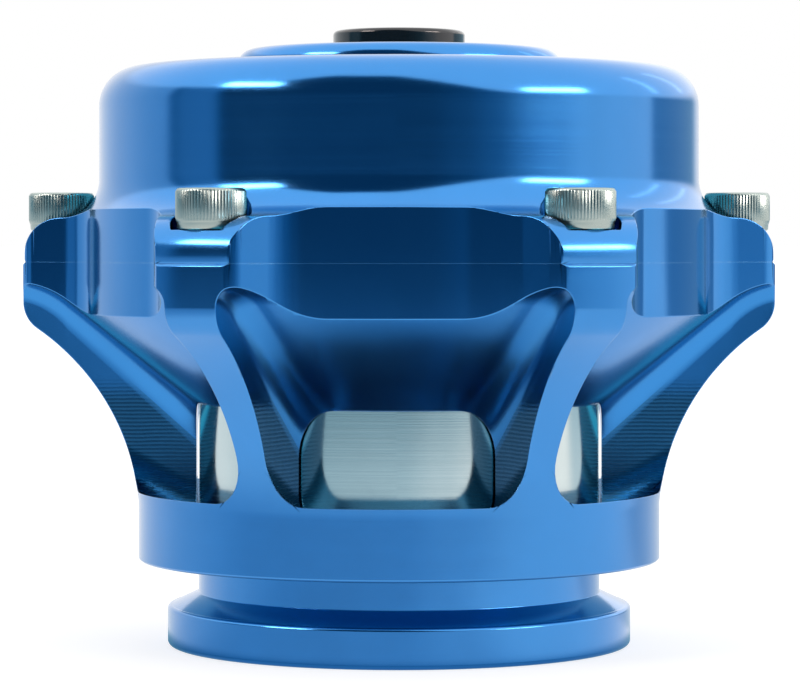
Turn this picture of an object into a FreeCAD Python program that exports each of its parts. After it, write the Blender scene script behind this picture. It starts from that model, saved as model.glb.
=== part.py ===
import FreeCAD, Part
import math
import os

import Sketcher

# Blow-off valve: a spring-loaded piston valve that vents charge air through six windows.
# Millimetres, +Z up, origin at the centre of the inlet flange's bottom face.
# The valve is drawn closed. The piston, stem and diaphragm plates rise together to open it.

SIZES = {
    # Inlet flange and neck
    "inlet_radius": 24.0,
    "inlet_chamfer": 0.5,
    "neck_wall": 2.1,
    "neck_height": 4.2,
    "flange_width": 4.0,
    "flange_rim_height": 5.0,
    "flange_cone_height": 1.8,
    "flange_edge_radius": 0.6,
    # Ring above the neck and the flare of the arms
    "ring_wall": 7.5,
    "ring_height": 7.5,
    "ring_chamfer": 0.3,
    "flare_radius": 31.1,
    "flare_centre_drop": 3.0,
    "flare_edge_radius": 4.2,
    # Seat and piston bore
    "seat_rise": 1.6,
    "seat_width": 2.4,
    "valve_lift": 11.0,
    "piston_top_gap": 0.5,
    # Exhaust windows
    "window_angle": 53.2,
    "window_floor_rise": 1.1,
    "window_floor_inset": 0.5,
    "window_floor_slope": 0.55,
    "window_roof_slope": 0.8,
    "window_roof_overhang": 1.1,
    "window_roof_drop": 2.6,
    "window_roof_curve": 11.0,
    "window_top_corner": 4.4,
    "window_bottom_corner": 4.6,
    # Screw lobes and the scallops between them
    "screw_count": 6,
    "scallop_wall": 5.5,
    "scallop_fillet": 4.2,
    "lobe_reach": 7.8,
    "lobe_side_wall": 1.65,
    "body_lobe_edge": 2.0,
    "cap_lobe_edge": 1.4,
    "seam_chamfer": 0.25,
    # Chamber under the diaphragm
    "chamber_widening": 9.1,
    "chamber_depth": 1.8,
    "web_thickness": 2.0,
    "clamp_width": 2.8,
    # Stem guide in the body's web
    "guide_wall": 3.0,
    "guide_length": 12.8,
    "guide_root_fillet": 2.0,
    "breather_radius": 1.6,
    "breather_guide_distance": 8.0,
    "breather_count": 6,
    # Upper housing
    "cap_lobe_inset": 0.2,
    "cap_lobe_thickness": 5.7,
    "cap_edge_radius": 4.5,
    "cap_cove_radius": 5.0,
    "dome_wall": 3.5,
    "dome_roof_thickness": 2.8,
    "dome_corner_radius": 5.0,
    "chamber_height": 22.4,
    "ceiling_corner_radius": 3.0,
    "boss_radius": 21.0,
    "boss_height": 2.4,
    "boss_edge_radius": 1.9,
    # Cap screws
    "screw_edge_distance": 4.7,
    "screw_seat_depth": 1.7,
    "screw_head_radius": 4.25,
    "screw_head_height": 5.0,
    "screw_head_bevel": 0.5,
    "screw_length": 10.0,
    "screw_shank_radius": 2.48,
    "screw_socket_width": 4.0,
    "screw_socket_depth": 2.5,
    "screw_hole_gap": 0.27,
    "counterbore_gap": 0.6,
    # Signal port
    "port_radius": 4.35,
    "port_floor_thickness": 2.2,
    "orifice_step": 1.85,
    "fitting_wall": 2.55,
    "fitting_flange_width": 1.7,
    "fitting_flange_height": 2.5,
    "fitting_edge_radius": 0.6,
    "fitting_protrusion": 1.5,
    "port_seal_recess_width": 1.1,
    "port_seal_recess_depth": 1.0,
    # Piston
    "piston_gap": 0.85,
    "piston_seat_gap": 1.0,
    "piston_height": 20.7,
    "piston_wall": 3.05,
    "piston_crown_thickness": 3.5,
    "piston_crown_fillet": 2.0,
    "piston_bevel": 1.95,
    "piston_hub_wall": 6.0,
    "piston_hub_height": 6.9,
    "stem_recess_depth": 1.2,
    "piston_counterbore_gap": 0.4,
    "piston_counterbore_depth": 3.6,
    "guide_ring_land": 0.4,
    "guide_ring_height": 2.0,
    "guide_ring_depth": 0.65,
    "seat_ring_cord_radius": 1.0,
    "seat_ring_depth": 0.1,
    # Stem and what is screwed to it
    "stem_radius": 5.0,
    "stem_shoulder": 1.02,
    "stem_protrusion": 0.8,
    "stem_chamfer": 0.5,
    "valve_screw_radius": 2.98,
    "valve_screw_reach": 12.0,
    "drill_point_slope": 0.5,
    "valve_screw_head_radius": 5.0,
    "valve_screw_head_height": 3.3,
    "valve_screw_washer_radius": 8.2,
    "valve_screw_washer_thickness": 1.2,
    "valve_screw_washer_gap": 0.2,
    "stem_nut_width": 13.0,
    "stem_nut_height": 4.0,
    "stem_washer_radius": 8.0,
    "stem_washer_thickness": 1.2,
    # Diaphragm and its plates
    "lower_plate_inset": 2.0,
    "lower_plate_gap": 0.3,
    "lower_plate_thickness": 1.2,
    "upper_plate_fold_gap": 0.6,
    "upper_plate_thickness": 2.0,
    "upper_plate_edge": 1.0,
    "spring_lip_width": 1.2,
    "spring_lip_height": 1.5,
    "diaphragm_thickness": 1.0,
    "convolution_radius": 2.9,
    "convolution_wall_gap": 0.1,
    # Spring and its seat
    "spring_edge_distance": 6.4,
    "spring_wire_radius": 1.0,
    "spring_turns": 4.0,
    "spring_closed_turns": 0.75,
    "spring_coil_gap": 0.06,
    "spring_ground_depth": 0.55,
    "spring_side_gap": 0.3,
    "spring_seat_thickness": 1.0,
    "spring_seat_flange": 1.2,
    # Bushings and stem seal
    "bushing_wall": 2.0,
    "bushing_length": 5.0,
    "lower_bushing_inset": 1.6,
    "upper_bushing_inset": 0.2,
    "circlip_thickness": 0.95,
    "circlip_groove_depth": 0.8,
    "circlip_stem_gap": 1.0,
    "circlip_opening": 5.0,
    "circlip_bushing_gap": 0.05,
    "circlip_side_gap": 0.025,
    # How far a cut runs past the metal that it removes
    "milling_overrun": 4.0,
    "drilling_overrun": 1.0,
    "screw_hole_spare_depth": 0.5,
    # Clearances
    "running_gap": 0.05,
    "static_gap": 0.02,
    "thread_gap": 0.02,
}

document = FreeCAD.newDocument("blow_off_valve")


class Size:
    """A length or angle that knows its number and the sheet formula behind it."""

    def __init__(self, number, formula):
        self.number = number
        self.formula = formula

    def __add__(self, other):
        other = as_size(other)
        return Size(self.number + other.number, f"({self.formula} + {other.formula})")

    def __radd__(self, other):
        return as_size(other) + self

    def __sub__(self, other):
        other = as_size(other)
        return Size(self.number - other.number, f"({self.formula} - {other.formula})")

    def __rsub__(self, other):
        return as_size(other) - self

    def __mul__(self, other):
        other = as_size(other)
        return Size(self.number * other.number, f"({self.formula} * {other.formula})")

    def __rmul__(self, other):
        return as_size(other) * self

    def __truediv__(self, other):
        other = as_size(other)
        return Size(self.number / other.number, f"({self.formula} / {other.formula})")

    def __rtruediv__(self, other):
        return as_size(other) / self

    def __neg__(self):
        return 0.0 - self


def as_size(value):
    if isinstance(value, Size):
        return value
    return Size(float(value), f"({float(value)})")


def root(size):
    return Size(math.sqrt(size.number), f"sqrt({size.formula})")


def leg(hypotenuse, other_leg):
    """The third side of a right triangle."""
    return root(hypotenuse * hypotenuse - other_leg * other_leg)


def cosine(degrees):
    return Size(math.cos(math.radians(degrees.number)), f"cos({degrees.formula})")


def sine(degrees):
    return Size(math.sin(math.radians(degrees.number)), f"sin({degrees.formula})")


class Dimensions:
    """The driving dimensions, written to a spreadsheet and read back by name."""

    def __init__(self, values):
        sheet = document.addObject("Spreadsheet::Sheet", "Sizes")
        for row, (name, value) in enumerate(values.items(), start=1):
            sheet.set(f"A{row}", name)
            sheet.set(f"B{row}", str(value))
            sheet.setAlias(f"B{row}", name)
            setattr(self, name, Size(float(value), f"Sizes.{name}"))
        document.recompute()


dim = Dimensions(SIZES)


# Sketch and feature helpers

def line_to(x, y):
    return ("line", as_size(x), as_size(y), None, 0)


def arc_left(x, y, radius):
    """An arc shorter than a half turn, its centre on the left of the way it is drawn."""
    return ("arc", as_size(x), as_size(y), as_size(radius), 1)


def arc_right(x, y, radius):
    """An arc shorter than a half turn, its centre on the right of the way it is drawn."""
    return ("arc", as_size(x), as_size(y), as_size(radius), -1)


def origin_feature(body, role):
    return next(item for item in body.Origin.OriginFeatures if item.Role == role)


def new_body(name):
    body = document.addObject("PartDesign::Body", name)
    body.Label = name
    return body


def new_sketch(body, name, plane, height=None):
    sketch = body.newObject("Sketcher::SketchObject", name)
    sketch.AttachmentSupport = [(origin_feature(body, plane), "")]
    sketch.MapMode = "FlatFace"
    if height is not None:
        sketch.setExpression("AttachmentOffset.Base.z", height.formula)
    return sketch


def add_driven(sketch, kind, items, size):
    index = sketch.addConstraint(Sketcher.Constraint(kind, *items, size.number))
    sketch.setExpression(f"Constraints[{index}]", size.formula)


def place_point(sketch, geometry, point, x, y):
    """Ties a sketch point to the sheet by its two distances from the origin."""
    for kind, size, axis in (("DistanceX", x, -2), ("DistanceY", y, -1)):
        if abs(size.number) < 1e-9:
            sketch.addConstraint(Sketcher.Constraint("PointOnObject", geometry, point, axis))
        elif size.number > 0:
            add_driven(sketch, kind, (-1, 1, geometry, point), size)
        else:
            add_driven(sketch, kind, (geometry, point, -1, 1), -size)


def arc_between(start, end, radius, side):
    """The arc of a radius from start to end, with its centre on the given side."""
    middle = (start + end) / 2
    half_chord = (end - start) / 2
    rise = math.sqrt(max(radius**2 - half_chord.Length**2, 0.0))
    left = FreeCAD.Vector(-half_chord.y, half_chord.x, 0).normalize()
    centre = middle + left * rise * side
    top = centre - left * radius * side
    return Part.Arc(start, top, end)


def draw_outline(sketch, steps):
    """Draws a closed outline; every corner and radius is bound to the sheet."""
    corners = [FreeCAD.Vector(x.number, y.number, 0) for _, x, y, _, _ in steps]
    for index, (kind, _, _, radius, side) in enumerate(steps):
        start = corners[index - 1]
        end = corners[index]
        if kind == "line":
            sketch.addGeometry(Part.LineSegment(start, end), False)
        else:
            sketch.addGeometry(arc_between(start, end, radius.number, side), False)
    ends = []
    for step in steps:
        # A left-hand arc runs from its first to its second point, a right-hand one the other way.
        ends.append((2, 1) if step[4] >= 0 else (1, 2))
    for index, (kind, x, y, radius, _) in enumerate(steps):
        following = (index + 1) % len(steps)
        last_point = ends[index][0]
        next_point = ends[following][1]
        sketch.addConstraint(
            Sketcher.Constraint("Coincident", index, last_point, following, next_point))
        place_point(sketch, index, last_point, x, y)
        if kind == "arc":
            add_driven(sketch, "Radius", (index,), radius)


def draw_circle(sketch, x, y, radius):
    centre = FreeCAD.Vector(as_size(x).number, as_size(y).number, 0)
    index = sketch.addGeometry(Part.Circle(centre, FreeCAD.Vector(0, 0, 1), radius.number), False)
    place_point(sketch, index, 3, as_size(x), as_size(y))
    add_driven(sketch, "Radius", (index,), radius)


def draw_polygon(sketch, x, y, across_flats, sides=6):
    """A regular polygon with an even number of sides, one flat facing sketch +Y."""
    reach = across_flats / 2 / cosine(as_size(180 / sides))
    steps = []
    for index in range(sides):
        turn = as_size(360 * index / sides)
        steps.append(line_to(x + reach * cosine(turn), y + reach * sine(turn)))
    draw_outline(sketch, steps)


def revolve(body, name, steps, kind="PartDesign::Revolution", plane="XZ_Plane"):
    """Turns an outline, given as radius and height, about the vertical axis."""
    sketch = new_sketch(body, f"{body.Name}_{name}_sketch", plane)
    draw_outline(sketch, steps)
    feature = body.newObject(kind, f"{body.Name}_{name}")
    feature.Profile = sketch
    feature.ReferenceAxis = (sketch, ["V_Axis"])
    feature.Angle = 360
    body.Tip = feature
    document.recompute()
    return feature


def extrude(body, name, sketch, length, kind="PartDesign::Pad", upward=True):
    """Pads or pockets a flat sketch by a length, towards +Z or -Z."""
    feature = body.newObject(kind, f"{body.Name}_{name}")
    feature.Profile = sketch
    feature.setExpression("Length", length.formula)
    is_pad = kind == "PartDesign::Pad"
    feature.Reversed = upward != is_pad
    body.Tip = feature
    document.recompute()
    return feature


def polar_pattern(body, name, features, count):
    """Repeats features about the vertical axis."""
    pattern = body.newObject("PartDesign::PolarPattern", f"{body.Name}_{name}")
    pattern.Originals = features
    pattern.Axis = (origin_feature(body, "Z_Axis"), [""])
    pattern.Angle = 360
    pattern.setExpression("Occurrences", count.formula)
    body.Tip = pattern
    document.recompute()
    return pattern


def dress(body, name, kind, size, edge_test):
    """Fillets or chamfers every edge of the body that passes a test."""
    base = body.Tip
    names = [f"Edge{index}" for index, edge in enumerate(base.Shape.Edges, start=1)
             if edge_test(edge)]
    if not names:
        raise RuntimeError(f"{body.Name}: no edge for {name}")
    feature = body.newObject(kind, f"{body.Name}_{name}")
    feature.Base = (base, names)
    feature.setExpression("Size" if kind == "PartDesign::Chamfer" else "Radius", size.formula)
    body.Tip = feature
    document.recompute()
    return feature


def ring_edge(radius, height):
    """A test for a full or partial circle about the vertical axis."""
    def test(edge):
        if not isinstance(edge.Curve, Part.Circle):
            return False
        centre = edge.Curve.Center
        return (math.hypot(centre.x, centre.y) < 0.01
                and abs(centre.z - height.number) < 0.01
                and abs(edge.Curve.Radius - radius.number) < 0.01)
    return test


def smaller(first, second):
    return first if first.number <= second.number else second


# Radii that follow from the inlet, outwards

piston_bore_radius = dim.inlet_radius + dim.seat_width
neck_radius = dim.inlet_radius + dim.neck_wall
flange_radius = neck_radius + dim.flange_width
ring_radius = piston_bore_radius + dim.ring_wall
chamber_radius = piston_bore_radius + dim.chamber_widening
clamp_radius = chamber_radius + dim.clamp_width
dome_radius = chamber_radius + dim.dome_wall
scallop_radius = chamber_radius + dim.scallop_wall
lobe_radius = scallop_radius + dim.lobe_reach
lobe_half_width = dim.screw_head_radius + dim.lobe_side_wall
lobe_angle = 360.0 / dim.screw_count
bolt_circle_radius = lobe_radius - dim.screw_edge_distance
window_floor_radius = ring_radius - dim.window_floor_inset
window_roof_end_radius = lobe_radius + dim.window_roof_overhang
piston_radius = piston_bore_radius - dim.piston_gap
piston_face_radius = piston_radius - dim.piston_bevel

# Radii that follow from the stem and the signal port

guide_bore_radius = dim.stem_radius + dim.bushing_wall
guide_radius = guide_bore_radius + dim.guide_wall
breather_circle_radius = guide_radius + dim.breather_guide_distance
circlip_inner_radius = dim.stem_radius + dim.circlip_stem_gap
stem_thread_radius = dim.stem_radius - dim.stem_shoulder
stem_hole_radius = stem_thread_radius + dim.running_gap
piston_hub_radius = dim.stem_radius + dim.piston_hub_wall
piston_counterbore_radius = dim.valve_screw_washer_radius + dim.piston_counterbore_gap
valve_screw_hole = dim.valve_screw_radius + dim.thread_gap
orifice_radius = dim.port_radius - dim.orifice_step
fitting_shank_radius = dim.port_radius + dim.fitting_wall
fitting_flange_radius = fitting_shank_radius + dim.fitting_flange_width
fitting_hole_radius = fitting_shank_radius + dim.running_gap
port_recess_radius = fitting_shank_radius + dim.port_seal_recess_width

# Radii of the diaphragm's plates and the spring, inwards from the chamber's wall

convolution_outer_radius = chamber_radius - dim.convolution_wall_gap
upper_plate_radius = (convolution_outer_radius - dim.convolution_radius * 2
                      - dim.upper_plate_fold_gap)
lower_plate_radius = upper_plate_radius - dim.lower_plate_inset
spring_mean_radius = upper_plate_radius - dim.spring_edge_distance
spring_lip_radius = spring_mean_radius - dim.spring_wire_radius - dim.spring_side_gap

# Heights, from the inlet face up

flange_cone_top = dim.flange_rim_height + dim.flange_cone_height
neck_top_height = flange_cone_top + dim.neck_height
ring_top_height = neck_top_height + dim.ring_height
flare_centre_height = ring_top_height - dim.flare_centre_drop
window_floor_height = ring_top_height + dim.window_floor_rise
seat_bottom_height = neck_top_height + dim.seat_rise
seat_top_height = seat_bottom_height + dim.seat_width
piston_bottom_height = seat_bottom_height + dim.piston_seat_gap
piston_top_height = piston_bottom_height + dim.piston_height
piston_hub_top_height = piston_bottom_height + dim.piston_hub_height
counterbore_top = piston_bottom_height + dim.piston_counterbore_depth
guide_ring_bottom_height = piston_top_height - dim.guide_ring_land - dim.guide_ring_height
stem_bottom = piston_hub_top_height - dim.stem_recess_depth
piston_bore_top_height = piston_top_height + dim.valve_lift + dim.piston_top_gap
guide_bottom_height = piston_bore_top_height - dim.guide_length
chamber_floor_height = piston_bore_top_height + dim.web_thickness
seam_height = chamber_floor_height + dim.chamber_depth
window_roof_end_height = seam_height - dim.window_roof_drop
lower_bushing_height = guide_bottom_height + dim.lower_bushing_inset
upper_bushing_height = chamber_floor_height - dim.upper_bushing_inset - dim.bushing_length
circlip_groove_top = lower_bushing_height - dim.circlip_bushing_gap
circlip_bottom = circlip_groove_top - dim.circlip_thickness - dim.circlip_side_gap
circlip_groove_bottom = circlip_bottom - dim.circlip_side_gap
clamp_floor_height = seam_height - dim.diaphragm_thickness
lower_plate_bottom = chamber_floor_height + dim.lower_plate_gap
diaphragm_bottom = lower_plate_bottom + dim.lower_plate_thickness
diaphragm_top = diaphragm_bottom + dim.diaphragm_thickness
upper_plate_top = diaphragm_top + dim.upper_plate_thickness
stem_nut_bottom = upper_plate_top + dim.stem_washer_thickness
stem_top_height = stem_nut_bottom + dim.stem_nut_height + dim.stem_protrusion
cap_lobe_top_height = seam_height + dim.cap_lobe_thickness
screw_seat_height = cap_lobe_top_height - dim.screw_seat_depth
screw_bottom_height = screw_seat_height - dim.screw_length
ceiling_height = seam_height + dim.chamber_height
dome_top_height = ceiling_height + dim.dome_roof_thickness
boss_top_height = dome_top_height + dim.boss_height
fitting_bottom_height = ceiling_height - dim.fitting_protrusion
fitting_top_height = boss_top_height + dim.fitting_flange_height
port_bottom_height = fitting_bottom_height + dim.port_floor_thickness
spring_bottom = upper_plate_top
spring_top = ceiling_height - dim.spring_seat_thickness


def scallop_outline(edge_radius):
    """Plan of the space between two screw lobes, centred on sketch +Y."""
    half = lobe_angle / 2
    outside = lobe_radius / cosine(half) + dim.milling_overrun

    # Along a lobe (reach) and square to it (offset), turned into the sketch.
    def plan(reach, offset, side):
        x = reach * sine(half) - offset * cosine(half)
        y = reach * cosine(half) + offset * sine(half)
        return side * x, y

    fillet_offset = lobe_half_width + dim.scallop_fillet
    fillet_reach = leg(scallop_radius + dim.scallop_fillet, fillet_offset)
    shrink = scallop_radius / (scallop_radius + dim.scallop_fillet)
    edge_offset = lobe_half_width - edge_radius
    edge_reach = leg(lobe_radius - edge_radius, edge_offset)
    grow = lobe_radius / (lobe_radius - edge_radius)
    far = outside / lobe_radius

    def corners(side):
        return [
            plan(fillet_reach * shrink, fillet_offset * shrink, side),
            plan(fillet_reach, lobe_half_width, side),
            plan(edge_reach, lobe_half_width, side),
            plan(edge_reach * grow, edge_offset * grow, side),
            plan(edge_reach * grow * far, edge_offset * grow * far, side),
        ]

    right = corners(as_size(1))
    left = corners(as_size(-1))
    return [
        arc_right(*right[0], scallop_radius),
        arc_left(*right[1], dim.scallop_fillet),
        line_to(*right[2]),
        arc_right(*right[3], edge_radius),
        line_to(*right[4]),
        line_to(*left[4]),
        line_to(*left[3]),
        arc_right(*left[2], edge_radius),
        line_to(*left[1]),
        arc_left(*left[0], dim.scallop_fillet),
    ]


def cut_scallops(body, edge_radius, from_height, depth, upward):
    sketch = new_sketch(body, f"{body.Name}_scallop_sketch", "XY_Plane", from_height)
    draw_outline(sketch, scallop_outline(edge_radius))
    pocket = extrude(body, "scallop", sketch, depth, "PartDesign::Pocket", upward)
    polar_pattern(body, "scallops", [pocket], dim.screw_count)


def cut_round_holes(body, name, radius, circle_radius, count, from_height, depth, upward):
    """Drills a ring of holes, the first one on the +X side."""
    sketch = new_sketch(body, f"{body.Name}_{name}_sketch", "XY_Plane", from_height)
    draw_circle(sketch, circle_radius, 0, radius)
    pocket = extrude(body, name, sketch, depth, "PartDesign::Pocket", upward)
    polar_pattern(body, f"{name}_ring", [pocket], count)


def cut_round_groove(body, name, radius, height, section_radius):
    """Turns a groove of round section about the vertical axis."""
    sketch = new_sketch(body, f"{body.Name}_{name}_sketch", "XZ_Plane")
    draw_circle(sketch, radius, height, section_radius)
    groove = body.newObject("PartDesign::Groove", f"{body.Name}_{name}")
    groove.Profile = sketch
    groove.ReferenceAxis = (sketch, ["V_Axis"])
    groove.Angle = 360
    body.Tip = groove
    document.recompute()


# Valve body: inlet flange, seat, windows, arms, lobes and stem guide

def make_valve_body():
    body = new_body("valve_body")
    flare_centre_x = ring_radius + leg(
        dim.flare_radius, ring_top_height - flare_centre_height)
    edge_centre_x = lobe_radius - dim.flare_edge_radius
    both = dim.flare_radius + dim.flare_edge_radius
    edge_centre_z = flare_centre_height + leg(both, flare_centre_x - edge_centre_x)
    share = dim.flare_radius / both
    flare_end_x = flare_centre_x - (flare_centre_x - edge_centre_x) * share
    flare_end_z = flare_centre_height + (edge_centre_z - flare_centre_height) * share
    revolve(body, "turned_blank", [
        line_to(dim.inlet_radius, 0),
        line_to(flange_radius, 0),
        line_to(flange_radius, dim.flange_rim_height),
        line_to(neck_radius, flange_cone_top),
        line_to(neck_radius, neck_top_height),
        line_to(ring_radius, neck_top_height),
        line_to(ring_radius, ring_top_height),
        arc_right(flare_end_x, flare_end_z, dim.flare_radius),
        arc_left(lobe_radius, edge_centre_z, dim.flare_edge_radius),
        line_to(lobe_radius, seam_height - dim.seam_chamfer),
        line_to(lobe_radius - dim.seam_chamfer, seam_height),
        line_to(clamp_radius, seam_height),
        line_to(clamp_radius, clamp_floor_height),
        line_to(chamber_radius, clamp_floor_height),
        line_to(chamber_radius, chamber_floor_height),
        line_to(guide_bore_radius, chamber_floor_height),
        line_to(guide_bore_radius, guide_bottom_height),
        line_to(guide_radius, guide_bottom_height),
        line_to(guide_radius, piston_bore_top_height),
        line_to(piston_bore_radius, piston_bore_top_height),
        line_to(piston_bore_radius, seat_top_height),
        line_to(dim.inlet_radius, seat_bottom_height),
    ])
    dress(body, "guide_root", "PartDesign::Fillet", dim.guide_root_fillet,
          ring_edge(guide_radius, piston_bore_top_height))
    windows = body.newObject("PartDesign::Boolean", "valve_body_windows")
    windows.Type = "Cut"
    windows.setObjects([make_window_cutter()])
    body.Tip = windows
    document.recompute()
    cut_scallops(body, dim.body_lobe_edge, seam_height,
                 seam_height - window_floor_height, upward=False)
    cut_round_holes(body, "screw_hole", dim.screw_shank_radius + dim.thread_gap,
                    bolt_circle_radius, dim.screw_count, seam_height,
                    seam_height - screw_bottom_height + dim.screw_hole_spare_depth,
                    upward=False)
    cut_round_holes(body, "breather", dim.breather_radius, breather_circle_radius,
                    dim.breather_count, chamber_floor_height,
                    chamber_floor_height - piston_bore_top_height + dim.drilling_overrun,
                    upward=False)
    groove_inner = guide_bore_radius - dim.drilling_overrun
    groove_outer = guide_bore_radius + dim.circlip_groove_depth
    revolve(body, "circlip_groove", [
        line_to(groove_inner, circlip_groove_bottom),
        line_to(groove_outer, circlip_groove_bottom),
        line_to(groove_outer, circlip_groove_top),
        line_to(groove_inner, circlip_groove_top),
    ], "PartDesign::Groove")
    rim_bottom = ring_edge(flange_radius, as_size(0))
    rim_top = ring_edge(flange_radius, dim.flange_rim_height)
    neck_corner = ring_edge(neck_radius, neck_top_height)
    dress(body, "flange_edges", "PartDesign::Fillet", dim.flange_edge_radius,
          lambda edge: rim_bottom(edge) or rim_top(edge) or neck_corner(edge))
    dress(body, "inlet_edge", "PartDesign::Chamfer", dim.inlet_chamfer,
          ring_edge(dim.inlet_radius, as_size(0)))
    dress(body, "ring_edge", "PartDesign::Chamfer", dim.ring_chamfer,
          ring_edge(ring_radius, neck_top_height))
    return body


def make_window_cutter():
    """The space of the six windows: radial side walls, a roof and a floor that slope up outwards."""
    body = new_body("window_cutter")
    inside = dim.inlet_radius
    outside = lobe_radius + dim.milling_overrun
    floor_rise = dim.window_floor_slope
    roof_rise = dim.window_roof_slope
    steepness = root(1.0 + roof_rise * roof_rise)
    curve_start_x = window_roof_end_radius - dim.window_roof_curve * roof_rise / steepness
    curve_start_z = window_roof_end_height - dim.window_roof_curve * (1.0 - 1.0 / steepness)
    roof_inside_z = curve_start_z - (curve_start_x - inside) * roof_rise
    floor_inside_z = window_floor_height - (window_floor_radius - inside) * floor_rise
    floor_outside_z = window_floor_height + (outside - window_floor_radius) * floor_rise
    wedge = revolve(body, "wedge", [
        line_to(inside, floor_inside_z),
        line_to(outside, floor_outside_z),
        line_to(outside, window_roof_end_height),
        line_to(window_roof_end_radius, window_roof_end_height),
        arc_left(curve_start_x, curve_start_z, dim.window_roof_curve),
        line_to(inside, roof_inside_z),
    ], plane="YZ_Plane")
    wedge.Midplane = True
    wedge.setExpression("Angle", dim.window_angle.formula)
    document.recompute()

    def long_edge(edge, is_floor):
        """The edges along a side wall, on the floor or on the roof."""
        middle = edge.valueAt((edge.FirstParameter + edge.LastParameter) / 2)
        radii = [math.hypot(vertex.X, vertex.Y) for vertex in edge.Vertexes]
        if len(radii) != 2 or abs(radii[0] - radii[1]) < 0.5:
            return False
        reach = math.hypot(middle.x, middle.y)
        floor_line = floor_inside_z.number + (reach - inside.number) * floor_rise.number
        return (abs(middle.z - floor_line) < 0.01) == is_floor

    dress(body, "bottom_corners", "PartDesign::Fillet", dim.window_bottom_corner,
          lambda edge: long_edge(edge, True))
    dress(body, "top_corners", "PartDesign::Fillet", dim.window_top_corner,
          lambda edge: long_edge(edge, False))
    ring = polar_pattern(body, "ring", [], dim.screw_count)
    ring.TransformMode = "Whole shape"
    document.recompute()
    return body


# Upper housing: dome, port boss and screw lobes

def make_upper_housing():
    body = new_body("upper_housing")
    lobe = lobe_radius - dim.cap_lobe_inset
    edge_start_z = cap_lobe_top_height - dim.cap_edge_radius
    cove_top_z = cap_lobe_top_height + dim.cap_cove_radius
    recess_bottom = boss_top_height - dim.port_seal_recess_depth
    revolve(body, "turned_blank", [
        line_to(chamber_radius, seam_height),
        line_to(lobe - dim.seam_chamfer, seam_height),
        line_to(lobe, seam_height + dim.seam_chamfer),
        line_to(lobe, edge_start_z),
        arc_left(lobe - dim.cap_edge_radius, cap_lobe_top_height, dim.cap_edge_radius),
        line_to(dome_radius + dim.cap_cove_radius, cap_lobe_top_height),
        arc_right(dome_radius, cove_top_z, dim.cap_cove_radius),
        line_to(dome_radius, dome_top_height - dim.dome_corner_radius),
        arc_left(dome_radius - dim.dome_corner_radius, dome_top_height,
                 dim.dome_corner_radius),
        line_to(dim.boss_radius, dome_top_height),
        line_to(dim.boss_radius, boss_top_height - dim.boss_edge_radius),
        arc_left(dim.boss_radius - dim.boss_edge_radius, boss_top_height,
                 dim.boss_edge_radius),
        line_to(port_recess_radius, boss_top_height),
        line_to(port_recess_radius, recess_bottom),
        line_to(fitting_hole_radius, recess_bottom),
        line_to(fitting_hole_radius, ceiling_height),
        line_to(chamber_radius - dim.ceiling_corner_radius, ceiling_height),
        arc_right(chamber_radius, ceiling_height - dim.ceiling_corner_radius,
                  dim.ceiling_corner_radius),
    ])
    cut_scallops(body, dim.cap_lobe_edge, seam_height,
                 cap_lobe_top_height - seam_height + dim.cap_cove_radius, upward=True)
    cut_round_holes(body, "screw_hole", dim.screw_shank_radius + dim.screw_hole_gap,
                    bolt_circle_radius, dim.screw_count, seam_height,
                    cap_lobe_top_height - seam_height, upward=True)
    cut_round_holes(body, "counterbore", dim.screw_head_radius + dim.counterbore_gap,
                    bolt_circle_radius, dim.screw_count, screw_seat_height,
                    dim.screw_head_height + dim.drilling_overrun, upward=True)
    return body


# Cap screws: socket heads and plain shanks

def make_cap_screws():
    body = new_body("cap_screws")
    head = new_sketch(body, "cap_screw_head_sketch", "XY_Plane", screw_seat_height)
    draw_circle(head, bolt_circle_radius, 0, dim.screw_head_radius)
    extrude(body, "head", head, dim.screw_head_height)
    dress(body, "head_bevel", "PartDesign::Chamfer", dim.screw_head_bevel,
          lambda edge: isinstance(edge.Curve, Part.Circle))
    shank = new_sketch(body, "cap_screw_shank_sketch", "XY_Plane", screw_seat_height)
    draw_circle(shank, bolt_circle_radius, 0, dim.screw_shank_radius)
    extrude(body, "shank", shank, dim.screw_length, upward=False)
    head_top = screw_seat_height + dim.screw_head_height
    socket = new_sketch(body, "cap_screw_socket_sketch", "XY_Plane", head_top)
    draw_polygon(socket, bolt_circle_radius, as_size(0), dim.screw_socket_width)
    extrude(body, "socket", socket, dim.screw_socket_depth, "PartDesign::Pocket", upward=False)
    ring = polar_pattern(body, "ring", [], dim.screw_count)
    ring.TransformMode = "Whole shape"
    document.recompute()
    return body


# Signal port fitting with a tapered-thread bore, and its seal

def make_signal_port_fitting():
    body = new_body("signal_port_fitting")
    top = fitting_top_height
    edge = dim.fitting_edge_radius
    revolve(body, "turned", [
        line_to(orifice_radius, fitting_bottom_height),
        line_to(fitting_shank_radius, fitting_bottom_height),
        line_to(fitting_shank_radius, boss_top_height),
        line_to(fitting_flange_radius, boss_top_height),
        line_to(fitting_flange_radius, top - edge),
        arc_left(fitting_flange_radius - edge, top, edge),
        line_to(dim.port_radius, top),
        line_to(dim.port_radius, port_bottom_height),
        line_to(orifice_radius, port_bottom_height),
    ])
    return body


def make_ring_seal(name, mean_radius, height, cord_radius):
    """An O-ring: a torus lying flat about the vertical axis."""
    ring = document.addObject("Part::Torus", name)
    ring.Label = name
    ring.setExpression("Radius1", mean_radius.formula)
    ring.setExpression("Radius2", cord_radius.formula)
    ring.setExpression("Placement.Base.z", height.formula)
    return ring


def make_port_o_ring():
    cord = smaller(dim.port_seal_recess_width, dim.port_seal_recess_depth) / 2 - dim.static_gap
    mean = fitting_shank_radius + dim.port_seal_recess_width / 2
    centre = boss_top_height - dim.port_seal_recess_depth / 2
    return make_ring_seal("port_o_ring", mean, centre, cord)


# Piston with its guide ring, seat seal, screw and washer

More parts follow.
